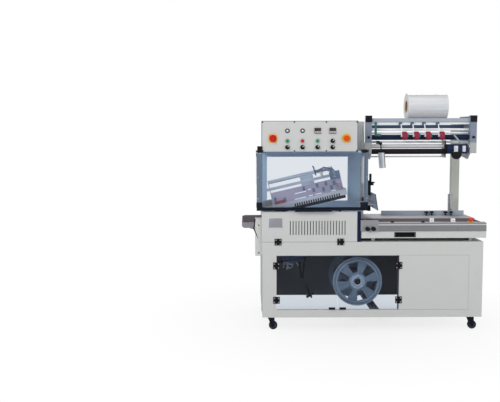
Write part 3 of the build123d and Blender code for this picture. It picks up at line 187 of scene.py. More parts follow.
def weave_group():
    """Plain weave of a coated belt, darker between its threads and a little lighter where they
    cross.
    """
    group, into, out = new_group(
        "weave", [("Color", "c"), ("Thread", "f"), ("Normal", "v")],
        [("Color", "c"), ("Normal", "v")])
    turns = math_node(group, "DIVIDE", 0.5, into.outputs["Thread"])
    place = coordinates(group)
    warp = add(group, "ShaderNodeTexWave", {"bands_direction": "X"}, Vector=place,
               Scale=turns, Distortion=0.4, Detail=1.0).outputs["Fac"]
    weft = add(group, "ShaderNodeTexWave", {"bands_direction": "Y"}, Vector=place,
               Scale=turns, Distortion=0.4, Detail=1.0).outputs["Fac"]
    height = math_node(group, "MULTIPLY", warp, weft)
    dark = blend_colors(group, height, (0.55, 0.5, 0.5, 1.0), (1.1, 1.1, 1.1, 1.0))
    color = blend_colors(group, 1.0, into.outputs["Color"], dark, "MULTIPLY")
    bump = add(group, "ShaderNodeBump", Strength=0.5, Distance=0.0006, Height=height,
               Normal=into.outputs["Normal"])
    group.links.new(color, out.inputs["Color"])
    group.links.new(bump.outputs["Normal"], out.inputs["Normal"])
    return group


MOTTLE = mottle_group()
DUST = dust_group()
SCUFFS = scuff_group()
STREAKS = streak_group()
WEAVE = weave_group()


def new_material(name):
    """A material with its node tree and its Principled BSDF."""
    mat = bpy.data.materials.new(name)
    mat.use_nodes = True
    return mat, mat.node_tree, mat.node_tree.nodes["Principled BSDF"]


def place_group(tree, group, **sockets):
    """One placed group with its inputs."""
    return add(tree, "ShaderNodeGroup", {"node_tree": group}, **sockets)


def finish(name, color, rough=0.45, metal=0.0, change=0.08, size=0.12, grain=0.2,
           grain_size=0.0012, spread=0.12, dust=0.15, scuffs=0.15, streaks=0.0, weave=0.0,
           coat=0.0, gloss=0.22):
    """A finish made of the shared effects, each with its own values."""
    mat, tree, shader = new_material(name)
    base = place_group(tree, MOTTLE, Color=(*color, 1.0), Change=change, Size=size,
                       Roughness=rough, Spread=spread, Grain_Size=grain_size, Grain=grain)
    tint, roughness, normal = (base.outputs[k] for k in ("Color", "Roughness", "Normal"))
    if streaks:
        lines = place_group(tree, STREAKS, Color=tint, Depth=streaks, Roughness=roughness,
                            Normal=normal)
        tint, roughness, normal = (lines.outputs[k] for k in ("Color", "Roughness", "Normal"))
    if weave:
        cloth = place_group(tree, WEAVE, Color=tint, Thread=weave, Normal=normal)
        tint, normal = cloth.outputs["Color"], cloth.outputs["Normal"]
    mask = place_group(tree, SCUFFS, Amount=scuffs, Size=0.05).outputs["Mask"]
    worn = [min(1.0, c * 0.7 + 0.08) for c in color]
    tint = blend_colors(tree, mask, tint, (*worn, 1.0))
    if dust:
        mask = place_group(tree, DUST, Amount=dust, Size=0.15).outputs["Mask"]
        tint = blend_colors(tree, mask, tint, DUST_COLOR)
        rise = math_node(tree, "MULTIPLY", mask, 0.5)
        roughness = math_node(tree, "ADD", roughness, rise, True)
    tree.links.new(tint, shader.inputs["Base Color"])
    tree.links.new(roughness, shader.inputs["Roughness"])
    tree.links.new(normal, shader.inputs["Normal"])
    shader.inputs["Metallic"].default_value = metal
    shader.inputs["Coat Weight"].default_value = coat
    shader.inputs["Coat Roughness"].default_value = 0.08
    shader.inputs["Specular IOR Level"].default_value = gloss
    return mat


def tinted_sheet(name, color, clear=0.5):
    """See-through tinted acrylic that lets light pass to what is behind it."""
    mat, tree, shader = new_material(name)
    base = place_group(tree, MOTTLE, Color=(*color, 1.0), Change=0.04, Size=0.3,
                       Roughness=0.03, Spread=0.03, Grain_Size=0.05, Grain=0.004)
    tree.links.new(base.outputs["Color"], shader.inputs["Base Color"])
    tree.links.new(base.outputs["Roughness"], shader.inputs["Roughness"])
    shader.inputs["IOR"].default_value = 1.2
    shader.inputs["Transmission Weight"].default_value = 1.0
    through = add(tree, "ShaderNodeBsdfTransparent", Color=(*[c ** clear for c in color], 1.0))
    shadow = add(tree, "ShaderNodeLightPath").outputs["Is Shadow Ray"]
    mix = add(tree, "ShaderNodeMixShader", i0=shadow, i1=shader.outputs[0],
              i2=through.outputs[0])
    tree.links.new(mix.outputs[0], tree.nodes["Material Output"].inputs["Surface"])
    return mat


def wound_film(name, centre):
    """Clear film wound on a card core: pale and glossy, with painted reflection bands round the
    roll, and card inside a radius.
    """
    mat, tree, shader = new_material(name)
    where = add(tree, "ShaderNodeTexCoord").outputs["Object"]
    offset = add(tree, "ShaderNodeVectorMath", {"operation": "SUBTRACT"}, i0=where,
                 i1=(0.0, centre.y, centre.z)).outputs[0]
    flat = add(tree, "ShaderNodeVectorMath", {"operation": "MULTIPLY"}, i0=offset,
               i1=(0.0, 1.0, 1.0)).outputs[0]
    radius = add(tree, "ShaderNodeVectorMath", {"operation": "LENGTH"}, i0=flat).outputs["Value"]
    rings = add(tree, "ShaderNodeTexNoise", {"noise_dimensions": "1D"}, Detail=3.0,
                W=math_node(tree, "MULTIPLY", radius, 900.0), Scale=1.0).outputs["Fac"]
    # Bands of lighter and darker film colour round the roll are painted reflection
    bands = add(tree, "ShaderNodeTexNoise", Vector=coordinates(tree, (0.8, 26.0, 26.0)),
                Scale=1.0, Detail=5.0, Roughness=0.7).outputs["Fac"]
    bands = math_node(tree, "MULTIPLY_ADD", bands, 2.4, True, -0.7)
    layers_and_reflections = math_node(tree, "ADD", math_node(tree, "MULTIPLY", rings, 0.4),
                       math_node(tree, "MULTIPLY", bands, 0.6))
    film = blend_colors(tree, layers_and_reflections, (0.56, 0.59, 0.64, 1.0), (0.97, 0.975, 0.98, 1.0))
    card = blend_colors(tree, rings, (0.33, 0.15, 0.05, 1.0), (0.50, 0.26, 0.10, 1.0))
    is_card = math_node(tree, "LESS_THAN", radius, CORE_RADIUS)
    tint = blend_colors(tree, is_card, film, card)
    rough = math_node(tree, "ADD", math_node(tree, "MULTIPLY", is_card, 0.6),
                      math_node(tree, "MULTIPLY_ADD", bands, 0.15, False, 0.18), True)
    bump = add(tree, "ShaderNodeBump", Strength=0.12, Distance=0.0006, Height=layers_and_reflections)
    tree.links.new(tint, shader.inputs["Base Color"])
    tree.links.new(rough, shader.inputs["Roughness"])
    tree.links.new(bump.outputs["Normal"], shader.inputs["Normal"])
    shader.inputs["Coat Weight"].default_value = 0.4
    shader.inputs["Subsurface Weight"].default_value = 0.15
    return mat


CREAM = finish("cream_powder_coat", (0.595, 0.605, 0.598), 0.42, change=0.05, grain=0.25)
# A darker copy of the cream for parts in shade: painted shade
SHADED_CREAM = finish("painted_shade_cream", (0.44, 0.46, 0.455), 0.5, change=0.08)
COLUMN = finish("cream_column_paint", (0.52, 0.535, 0.50), 0.45, change=0.06)
# Dark finish for faces, tubes and sheets inside the cabinet and behind openings: painted shade
INSIDE = finish("painted_shade_dark_inner", (0.118, 0.130, 0.155), 0.6, change=0.15, dust=0.1,
                gloss=0.1)
HOUSING = finish("blue_grey_housing_paint", (0.50, 0.65, 0.82), 0.45, change=0.06)
STRIP = finish("steel_blue_strip_paint", (0.135, 0.18, 0.245), 0.4, change=0.06)
RACK = finish("lavender_grey_rack_paint", (0.225, 0.265, 0.345), 0.42, change=0.06)
BEAM = finish("pale_beam_paint", (0.38, 0.43, 0.49), 0.4, change=0.06)
BLACK = finish("black_moulded_plastic", (0.014, 0.014, 0.017), 0.42, grain=0.35, dust=0.02,
               gloss=0.06)
BLACK_PAINT = finish("black_frame_paint", (0.010, 0.013, 0.022), 0.4, dust=0.02, gloss=0.06)
NAVY = finish("navy_tube_coating", (0.009, 0.018, 0.052), 0.35, dust=0.02, gloss=0.12)
BLUE_BAR = finish("dark_blue_bar_paint", (0.075, 0.13, 0.225), 0.35, dust=0.04)
TEAL = finish("teal_bracket_paint", (0.03, 0.14, 0.17), 0.35)
MOTOR = finish("motor_blue_enamel", (0.012, 0.026, 0.08), 0.38, dust=0.03, gloss=0.15)
# White for pointers, bars, slits and clamps; on the perforator arms it stands in for the
# highlight on chromed forks, which is painted highlight
WHITE = finish("white_enamel_and_painted_highlight", (0.93, 0.97, 1.0), 0.25, change=0.04, coat=0.2)
STEEL = finish("brushed_table_steel", (0.275, 0.28, 0.30), 0.38, 0.9, streaks=0.35)
PLATE_STEEL = finish("rolled_plate_steel", (0.35, 0.345, 0.38), 0.42, 0.85, streaks=0.3)
KNOB_PLATE = finish("knob_plate_steel", (0.33, 0.335, 0.365), 0.45, 0.5, streaks=0.15)
CHROME = finish("chromed_post", (0.66, 0.66, 0.68), 0.14, 1.0, grain=0.03, dust=0.03)
ALUMINIUM = finish("mill_aluminium", (0.50, 0.52, 0.56), 0.38, 0.85, streaks=0.25)
TURNED = finish("turned_grey_steel", (0.55, 0.58, 0.61), 0.35, 0.9, streaks=0.3)
MAUVE = finish("mauve_arm_plate", (0.36, 0.33, 0.41), 0.45, change=0.2, size=0.03)
RUST_RED = finish("dull_red_end_block", (0.26, 0.08, 0.085), 0.45, change=0.2, size=0.03)
KNIFE = finish("coated_knife_steel", (0.04, 0.04, 0.05), 0.4, 0.4, streaks=0.2)
ZINC = finish("yellow_zinc_plate", (0.50, 0.43, 0.20), 0.4, 0.6)
FASTENER = finish("bright_fastener", (0.62, 0.62, 0.63), 0.28, 1.0, size=0.01, dust=0.0)
RUBBER = finish("ground_black_rubber", (0.011, 0.011, 0.015), 0.6, grain=0.5, dust=0.04,
                gloss=0.12)
TREAD = finish("dark_caster_tread", (0.022, 0.022, 0.025), 0.6, grain=0.4, dust=0.12,
               gloss=0.15)
BELT = finish("brown_coated_belt", (0.098, 0.062, 0.074), 0.6, weave=0.0014, change=0.15,
              gloss=0.12)
RED = finish("red_gloss_plastic", (0.62, 0.016, 0.010), 0.25, grain=0.1, dust=0.02)
ORANGE_RED = finish("orange_red_mushroom", (0.72, 0.075, 0.008), 0.3, grain=0.1, dust=0.02)
YELLOW = finish("yellow_collar_plastic", (0.80, 0.46, 0.03), 0.35, grain=0.1, dust=0.04)
GREEN = finish("green_gloss_plastic", (0.02, 0.25, 0.12), 0.28, grain=0.1, dust=0.02)
LENS = finish("white_lamp_lens", (0.78, 0.82, 0.84), 0.15, grain=0.05, dust=0.03, coat=0.5)
THUMB = finish("brown_thumbwheel", (0.05, 0.035, 0.03), 0.4, dust=0.03)
PERFORATOR = finish("raspberry_wheel_plastic", (0.30, 0.026, 0.062), 0.38, dust=0.04)
REEL = finish("blue_grey_reel_paint", (0.14, 0.18, 0.235), 0.38, change=0.1)
REEL_EDGE = finish("worn_reel_edge", (0.36, 0.42, 0.50), 0.35, 0.3, change=0.1)
BARE = finish("bare_plate_metal", (0.62, 0.64, 0.67), 0.4, 0.2, streaks=0.1)
ACRYLIC = tinted_sheet("tinted_acrylic_sheet", (0.74, 0.775, 0.83))
DOOR_ACRYLIC = tinted_sheet("tinted_door_sheet", (0.66, 0.71, 0.77))
SHIELD = tinted_sheet("dark_tinted_shield", (0.16, 0.20, 0.25))


def paint(material, *names):
    """Give CAD nodes a finish in their own material slots."""
    for name in names:
        for slot in nodes[name].material_slots:
            slot.material = material


def new_object(name, data):
    """An object in the scene's collection."""
    made = bpy.data.objects.new(name, data)
    bpy.context.scene.collection.objects.link(made)
    return made


def dress(node, body, pick):
    """Pieces that stand for one CAD node, one for each finish that pick names for its faces."""
    groups = {}
    for face in nodes[node].data.polygons:
        groups.setdefault(pick(face.center, face.normal).name, []).append(face.index)
    for key, faces in groups.items():
        mesh = bmesh.new()
        mesh.from_mesh(nodes[node].data)
        keep = set(faces)
        mesh.faces.ensure_lookup_table()
        others = [face for face in mesh.faces if face.index not in keep]
        bmesh.ops.delete(mesh, geom=others, context="FACES")
        bmesh.ops.remove_doubles(mesh, verts=mesh.verts, dist=2e-6)
        piece = settle(f"{node}.{key}", mesh, bpy.data.materials[key], body)
        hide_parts(node)


def settle(name, mesh, material, body):
    """Turn a bmesh into a piece that rides on a body, smooth except at its sharp edges."""
    for face in mesh.faces:
        face.smooth = True
    for edge in mesh.edges:
        edge.smooth = len(edge.link_faces) == 2 and edge.calc_face_angle(0.0) < SHARP_EDGE
    data = bpy.data.meshes.new(name)
    mesh.to_mesh(data)
    mesh.free()
    data.materials.append(material)
    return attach(new_object(name, data), body)


def facing(axis):
    """Rotation that turns local Z to an axis."""
    return Vector(axis).to_track_quat("Z", "Y").to_matrix().to_4x4()


def skin(mesh, rings):
    """Faces between rings of points, and over both ends."""
    count = len(rings[0])
    for lower, upper in zip(rings, rings[1:]):
        for i in range(count):
            j = (i + 1) % count
            mesh.faces.new((lower[i], lower[j], upper[j], upper[i]))
    mesh.faces.new(rings[-1])
    mesh.faces.new(list(reversed(rings[0])))


def lathe(mesh, profile, place, axis=(0, -1, 0), segments=32):
    """Turn a profile of (radius, height) points round an axis through a place."""
    turn = Matrix.Translation(place) @ facing(axis)
    rings = []
    for radius, height in profile:
        ring = []
        for i in range(segments):
            angle = 2 * math.pi * i / segments
            point = Vector((radius * math.cos(angle), radius * math.sin(angle), height))
            ring.append(mesh.verts.new(turn @ point))
        rings.append(ring)
    skin(mesh, rings)


def bevelled_box(mesh, low, high, radius=0.001):
    """A block with rounded edges between two corners."""
    size = Vector(high) - Vector(low)
    middle = (Vector(high) + Vector(low)) / 2
    matrix = Matrix.Translation(middle) @ Matrix.Diagonal((*size, 1.0))
    made = bmesh.ops.create_cube(mesh, size=1.0, matrix=matrix)
    edges = {edge for vert in made["verts"] for edge in vert.link_edges}
    radius = min(radius, min(size) * 0.45)
    bmesh.ops.bevel(mesh, geom=list(edges), offset=radius, segments=2, affect="EDGES",
                    profile=0.5)


def screw_head(mesh, place, radius):
    """A domed screw head with a socket, facing the front."""
    height = radius * 0.7
    lathe(mesh, [(radius, 0.0), (radius, height * 0.45), (radius * 0.82, height * 0.85),
                 (radius * 0.5, height), (radius * 0.45, height), (radius * 0.4, height * 0.4),
                 (radius * 0.05, height * 0.4)], place, segments=16)


def screws(name, body, places, radius, material=FASTENER):
    """One piece with a row of screw heads."""
    mesh = bmesh.new()
    for place in places:
        screw_head(mesh, Vector(place), radius)
    return settle(name, mesh, material, body)


def tube_along(mesh, points, radius, sides=10):
    """A round tube through points."""
    points = [Vector(point) for point in points]
    rings = []
    for i, point in enumerate(points):
        ahead = points[min(i + 1, len(points) - 1)] - points[max(i - 1, 0)]
        across = facing(ahead)
        ring = []
        for k in range(sides):
            angle = 2 * math.pi * k / sides
            offset = across @ Vector((radius * math.cos(angle), radius * math.sin(angle), 0))
            ring.append(mesh.verts.new(point + offset))
        rings.append(ring)
    for lower, upper in zip(rings, rings[1:]):
        shift = min(range(sides), key=lambda s: (upper[s].co - lower[0].co).length)
        upper[:] = upper[shift:] + upper[:shift]
    skin(mesh, rings)


def lobed_knob(mesh, place, radius, height, axis=(0, 0, 1), lobes=5):
    """A star knob with rounded lobes and a boss."""
    turn = Matrix.Translation(place) @ facing(axis)
    count = lobes * 8
    levels = ((0.0, 0.62), (0.28, 0.66), (0.34, 0.92), (0.46, 1.0), (0.86, 1.0), (1.0, 0.86))
    rings = []
    for level, share in levels:
        ring = []
        for i in range(count):
            angle = 2 * math.pi * i / count
            wave = 1.0 if level < 0.3 else 0.86 + 0.14 * math.cos(lobes * angle)
            reach = radius * share * wave
            point = Vector((reach * math.cos(angle), reach * math.sin(angle), height * level))
            ring.append(mesh.verts.new(turn @ point))
        rings.append(ring)
    skin(mesh, rings)


# Finishes of the CAD parts

paint(CREAM, "front_fascia", "vent_panel", "control_box", "table_tray")
paint(HOUSING, "upper_housing")
paint(BLACK, "hinge_leaves", "mode_selector", "film_selector", "feed_selector",
      "belt_selector", "seal_selector", "table_pull", "crank_handle")
paint(BLACK_PAINT, "crank_column")
paint(ACRYLIC, "guard_panes")
paint(SHIELD, "side_shield")
paint(RED, "main_switch", "stop_button")
paint(ORANGE_RED, "emergency_stop", "table_e_stop")
paint(GREEN, "start_button", "reset_button")
paint(ALUMINIUM, "lower_seal_jaw")
paint(KNIFE, "seal_knife")
paint(BELT, "conveyor_belt", "table_belts")
paint(PLATE_STEEL, "outfeed_roller", "infeed_roller", "cradle_roller_front",
      "cradle_roller_rear", "film_opener")
paint(NAVY, "pressure_tube")
paint(RUBBER, "nip_roller")
paint(PERFORATOR, "perforator_wheels")
paint(REEL, "waste_reel")
paint(BLACK_PAINT, *[f"caster_fork_{corner}" for corner in CORNERS])
roll_low, roll_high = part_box("film_roll")
paint(wound_film("wound_clear_film", (roll_low + roll_high) / 2), "film_roll")


# Finishes by place, for the CAD nodes that wear more than one

FAR = 9.0                   # beyond the machine on every side
ANY = (-FAR, FAR)
HAIR = 1e-5                 # keeps faces that lie on a limit on the right side of it
PANEL_X = (-0.531, -0.428, -0.325, -0.222)
LAMP_Z, BUTTON_Z, SELECTOR_Z = 1.392, 1.3225, 1.2797
LAMP_X = PANEL_X[:2]
LENS_RADIUS = 0.01085
POST_X, POST_Y, POST_RADIUS = 0.748, 0.19, 0.0215
TABLE_TOP = 0.757
TREAD_INSIDE = 0.0185
ARM_TILT = math.radians(13.0)
PIVOT = Vector((-0.675, 0.0, 0.842))
ARM_PLATE_Z = (0.8621, 0.9501)


def zone(material, x=ANY, y=ANY, z=ANY):
    """A finish and the ranges of face centres that wear it."""
    return material, (x, y, z)


def by_zone(rest, *zones):
    """A pick that gives a face the finish of the first zone that holds it, or else the rest's."""
    def pick(p, n):
        for material, ranges in zones:
            if all(low < value < high for value, (low, high) in zip(p, ranges)):
                return material
        return rest
    return pick


panel_flat_parts = by_zone(
    BLACK,
    zone(BLACK, y=(FRONT + 1e-4, FAR)),                  # contact blocks behind the plate
    zone(YELLOW, x=(-0.160, -0.096)),                    # emergency stop collar
    zone(YELLOW, x=(-0.6585, -0.6015)),                  # main switch collar
    zone(THUMB, x=(-0.35, FAR), z=(1.365, FAR)),         # thumbwheel units
    zone(FASTENER, x=(-FAR, -0.29), z=(1.3, 1.365)))     # push button bezels

table_flat_parts = by_zone(
    PLATE_STEEL,
    zone(KNOB_PLATE, x=(-FAR, 0.098), y=(-FAR, FRONT - 0.0029)),
    zone(STEEL, y=(-FAR, FRONT + HAIR)))                 # front rail


def fittings_pick(p, n):
    """Lamp lenses, and the control panel's other fittings."""
    lens = any(math.hypot(p.x - x, p.z - LAMP_Z) < LENS_RADIUS for x in LAMP_X)
    return LENS if lens and p.y <= FRONT + 1e-4 else panel_flat_parts(p, n)


def plates_pick(p, n):
    """Chromed post, and the brushed rail and plates."""
    post = math.hypot(p.x - POST_X, p.y - POST_Y) < POST_RADIUS and p.z > TABLE_TOP + 1e-4
    return CHROME if post else table_flat_parts(p, n)


def panels_pick(p, n):
    """Cream outside; inner and downward faces dark, as painted shade."""
    if p.y < FRONT + 0.01:
        return CREAM if n.y < -0.5 else INSIDE
    inward = n.y < -0.5 or (n.x > 0.5 and p.x < 0.0) or (n.x < -0.5 and p.x > 0.0)
    return INSIDE if inward or n.z < -0.5 else CREAM


def arm_frame_pick(p, n):
    """Mauve upright plate, pale bar and beams, told apart by height on the closed arm."""
    x, z = p.x - PIVOT.x, p.z - PIVOT.z
    height = z * math.cos(ARM_TILT) - x * math.sin(ARM_TILT) + PIVOT.z
    if p.y < -0.3095 and ARM_PLATE_Z[0] < height < ARM_PLATE_Z[1]:
        return MAUVE
    return BEAM if height > 0.95 else ALUMINIUM


def caster_pick(centre):
    """Dark tread round a paler hub."""
    def pick(p, n):
        inside = math.hypot(p.x - centre.x, p.z - centre.z) < TREAD_INSIDE
        return STRIP if inside else TREAD
    return pick


BLACK_IN_FRONT = zone(BLACK, y=(-FAR, FRONT - HAIR))     # hinge halves and catches
door_pick = by_zone(DOOR_ACRYLIC, BLACK_IN_FRONT)
# The tubes inside the cabinet wear the dark finish as painted shade
dress("frame_tubes", "machine", by_zone(
    INSIDE,
    zone(ZINC, z=(0.09, 0.0951)),                                          # caster plates
    zone(FASTENER, x=(0.03, FAR), y=(-0.325, 0.215), z=(0.6235, 0.6385)),  # table runners
    zone(BLACK_PAINT, x=(-0.08, 0.16), y=(0.015, 0.063), z=(0.1351, 0.37)),     # reel stand
    zone(FASTENER, x=(-0.048, -0.008), y=(-FAR, 0.063), z=(0.312, 0.346)),      # reel axle
    zone(COLUMN, z=(0.6251, FAR))))
dress("cabinet_panels", "machine", panels_pick)
dress("seal_arm_frame", "seal_arm", arm_frame_pick)
dress("panel_fittings", "machine", fittings_pick)
dress("guard_frame", "guard", by_zone(
    BLACK_PAINT,
    zone(STRIP, x=(-FAR, -0.7219), y=(-FAR, -0.39), z=(0.8681, 1.2401)),
    zone(STRIP, x=(0.0009, FAR), y=(-FAR, -0.39), z=(0.8681, 1.2401))))
dress("conveyor_bed", "machine", by_zone(
    PLATE_STEEL,
    zone(CREAM, x=(-FAR, -0.7029), y=(-FAR, -0.295)),    # corner channel
    zone(BLACK_PAINT, z=(-FAR, 0.7001))))                # legs
dress("table_plates", "infeed_table", plates_pick)
dress("table_fittings", "infeed_table", by_zone(
    BLACK,
    zone(YELLOW, x=(0.7205, 0.7695), z=(TABLE_TOP - 1e-4, FAR)),   # stop's collar
    zone(WHITE, x=(0.6095, 0.6385), z=(TABLE_TOP - 1e-4, FAR)),    # guide clamps
    zone(WHITE, x=(0.4615, 0.4905), z=(TABLE_TOP - 1e-4, FAR)),
    zone(PLATE_STEEL, z=(-FAR, 0.652)),                            # inner runners
    zone(PLATE_STEEL, x=(0.8, FAR), z=(-FAR, 0.75))))              # roller brackets
dress("rack_bars", "machine", by_zone(
    WHITE,
    zone(BEAM, y=(-FAR, -0.163), z=(1.4529, 1.4791)),
    zone(BLUE_BAR, z=(1.4085, 1.4335)),
    zone(BARE, y=(-0.1716, -0.1424), z=(1.2664, 1.2956)),
    zone(BARE, z=(-FAR, 1.22)),
    zone(BLACK_PAINT, x=(0.1205, 0.1455), y=(-FAR, -0.1), z=(-FAR, 1.33))))
dress("rack_side_plates", "machine", by_zone(
    RACK,
    zone(BLACK, z=(1.4919, FAR)),                        # caps
    zone(BLACK, y=(-FAR, -0.1821)),                      # cap fronts and knobs
    # Lower arms and rear parts in the darker cream: painted shade
    zone(SHADED_CREAM, z=(-FAR, 1.3061)),                # lower arms
    zone(SHADED_CREAM, y=(0.0981, FAR))))
# The arms' white stands in for the highlight on chromed forks: painted highlight
dress("perforator_arms", "machine", by_zone(
    WHITE, zone(BLUE_BAR, y=(-0.175, FAR), z=(1.4319, FAR))))      # clamp blocks
dress("gear_motors", "machine", by_zone(
    MOTOR, zone(BLACK, x=(0.6019, 0.6161)), zone(BLACK, x=(-0.4102, -0.3958))))  # gearheads
dress("dancer_arm", "dancer_arm", by_zone(BLACK_PAINT, zone(TURNED, z=(-FAR, 1.2375))))
dress("table_fence", "table_fence", by_zone(
    BEAM, zone(BLACK, y=(0.1335, 0.1625), z=(0.7614, FAR))))       # clamp knobs
dress("left_door", "left_door", door_pick)
dress("right_door", "right_door", door_pick)
dress("vent_panel", "vent_panel", by_zone(CREAM, BLACK_IN_FRONT))
for corner in CORNERS:
    wheel_low, wheel_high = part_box(f"caster_wheel_{corner}")
    dress(f"caster_wheel_{corner}", f"caster_wheel_{corner}",
          caster_pick((wheel_low + wheel_high) / 2))


# Small fittings that only this scene has

def box_piece(name, body, material, *boxes, radius=0.001, turn=None):
    """One piece made of rounded blocks, each given by its low and high corner."""
    mesh = bmesh.new()
    for low, high in boxes:
        bevelled_box(mesh, low, high, radius)
    if turn:
        bmesh.ops.transform(mesh, matrix=turn, verts=mesh.verts)
    return settle(name, mesh, material, body)


def tube_piece(name, body, material, *paths, radius=0.004, turn=None):
    """One piece made of round tubes."""
    mesh = bmesh.new()
    for points in paths:
        tube_along(mesh, points, radius)
    if turn:
        bmesh.ops.transform(mesh, matrix=turn, verts=mesh.verts)
    return settle(name, mesh, material, body)


def turned_piece(name, body, material, profile, places, segments=28):
    """One piece made of the same turned shape at several places, facing the front."""
    mesh = bmesh.new()
    for place in places:
        lathe(mesh, profile, Vector(place), segments=segments)
    return settle(name, mesh, material, body)


def coil_path(start, end, radius, turns, steps=10):
    """Points of a coil between two points."""
    start, end = Vector(start), Vector(end)
    across = facing(end - start)
    points = []
    for i in range(turns * steps + 1):
        angle = math.tau * i / steps
        offset = across @ Vector((radius * math.cos(angle), radius * math.sin(angle), 0))
        points.append(start.lerp(end, i / (turns * steps)) + offset)
    return points


def slab(x, y, z):
    """The low and high corner of a block that is given by its ranges."""
    return tuple(zip(x, y, z))


def about(pivot, angle):
    """A turn by an angle about an axis along Y through a pivot."""
    return (Matrix.Translation(pivot) @ Matrix.Rotation(angle, 4, "Y")
            @ Matrix.Translation(-Vector(pivot)))


# Face plate: screws, selector pointers, button and lamp rims
POINTER_LEAN = 0.6
POINTER_HALF = 0.0020
POINTER_REACH = (0.002, 0.0115)
SELECTORS = {"mode_selector": (PANEL_X[3], BUTTON_Z), "film_selector": (PANEL_X[0], SELECTOR_Z),
             "feed_selector": (PANEL_X[1], SELECTOR_Z), "belt_selector": (PANEL_X[2], SELECTOR_Z),
             "seal_selector": (PANEL_X[3], SELECTOR_Z)}
screws("face_plate_screws", "machine",
       [(x, FACE, z) for x in (-0.700, -0.483, -0.265, -0.056) for z in (1.4505, 1.2555)],
       0.0048, material=BLACK)
for body, (x, z) in SELECTORS.items():
    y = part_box(body)[0].y
    box_piece(f"{body}_pointer", body, WHITE,
              ((x - POINTER_HALF, y - 0.0010, z + POINTER_REACH[0]),
               (x + POINTER_HALF, y + 0.0004, z + POINTER_REACH[1])),
              radius=0.0003, turn=about((x, 0.0, z), POINTER_LEAN))
turned_piece("push_button_rims", "machine", BARE,
             [(0.0158, 0.0), (0.0158, 0.003), (0.0144, 0.0046), (0.0122, 0.0050),
              (0.0121, 0.0002)], [(x, FACE, BUTTON_Z) for x in PANEL_X[:3]])
turned_piece("lamp_rims", "machine", BLACK,
             [(0.0142, 0.0), (0.0142, 0.004), (0.0128, 0.0062), (0.0098, 0.0066),
              (0.0086, 0.0062)], [(x, FACE, LAMP_Z) for x in LAMP_X])
turned_piece("lamp_centres", "machine", LENS, [(0.0075, 0.0), (0.0075, 0.0022), (0.004, 0.0036)],
             [(x, FRONT - 0.0069, LAMP_Z) for x in LAMP_X])

# Blank nameplate with its raised field and four rivets, and the dark sheet behind the slots,
# which is painted shade
NAME_X, NAME_Z = (-0.665, -0.557), (0.719, 0.800)
NAME_FRONT = FRONT - 0.0010


def drawn_in(ends, inset):
    """A range made shorter by an inset at both ends."""
    return ends[0] + inset, ends[1] - inset


box_piece("nameplate", "vent_panel", BARE,
          slab(NAME_X, (NAME_FRONT, FRONT + 0.0001), NAME_Z), radius=0.0006)
box_piece("nameplate_field", "vent_panel", KNOB_PLATE,
          slab(drawn_in(NAME_X, 0.008), (FRONT - 0.0014, FRONT - 0.0009),
               drawn_in(NAME_Z, 0.008)), radius=0.0002)
screws("nameplate_rivets", "vent_panel",
       [(x, FRONT - 0.0009, z) for x in drawn_in(NAME_X, 0.0035)
        for z in drawn_in(NAME_Z, 0.0035)], 0.0018)
box_piece("vent_shade_backing", "machine", INSIDE, ((-0.70, -0.3655, 0.6251), (-0.06, -0.3635, 0.83)))

# Screws of the butt hinges: the side of its pins on which each door lies (0 is above), the pins
HINGES = {"vent_panel": (0, [(x, 0.626) for x in (-0.594, -0.155)]),
          "left_door": (1, [(-0.605, z) for z in (0.218, 0.459)]),
          "right_door": (-1, [(0.244, z) for z in (0.218, 0.459)])}
HINGE_FACE = FRONT - 0.0029
SCREW_ALONG, SCREW_ACROSS = 0.014, 0.0145


def hinge_screws(door, leaf, body, across):
    """The screws of one half of a door's hinges."""
    side, pins = HINGES[door]
    places = []
    for x, z in pins:
        for along in (-SCREW_ALONG, SCREW_ALONG):
            spot = (x + side * across, z + along) if side else (x + along, z + across)
            places.append((spot[0], HINGE_FACE, spot[1]))
    screws(f"{door}_hinge_screws_{leaf}", body, places, 0.0042)


for door in HINGES:
    hinge_screws(door, "own", door, SCREW_ACROSS)
for door in HINGES:
    hinge_screws(door, "fixed", "machine", -SCREW_ACROSS)

# Bolts of the corner channel and of the guard strips
screws("corner_channel_bolts", "machine",
       [(-0.7275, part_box("conveyor_bed")[0].y, z) for z in (0.742, 0.549)], 0.0046,
       material=BLACK)
screws("guard_strip_screws", "guard",
       [(x, FRONT - 0.0151, z) for x in (-0.732, 0.011) for z in (1.075, 0.93)], 0.0042)

# Dark strip behind the gap between the vent panel and the table: painted shade
box_piece("dark_gap_strip", "machine", NAVY,
          ((-0.0465, FRONT + 0.004, 0.6245), (-0.0215, FRONT + 0.010, 0.838)))

# Star knobs in front of the fence, each on a small clamp
STAR_Y = 0.100
CLAMP_HALF = 0.006
mesh = bmesh.new()
for x in (0.730, 0.688, 0.585, 0.544):
    lathe(mesh, [(0.004, 0.0), (0.004, 0.014)], Vector((x, STAR_Y, 0.7602)), (0, 0, 1), 12)
    lobed_knob(mesh, Vector((x, STAR_Y, 0.772)), 0.0155, 0.014)
    bevelled_box(mesh, (x - CLAMP_HALF, 0.090, TABLE_TOP), (x + CLAMP_HALF, 0.118, 0.762))
settle("fence_star_knobs", mesh, BLACK, "table_fence")

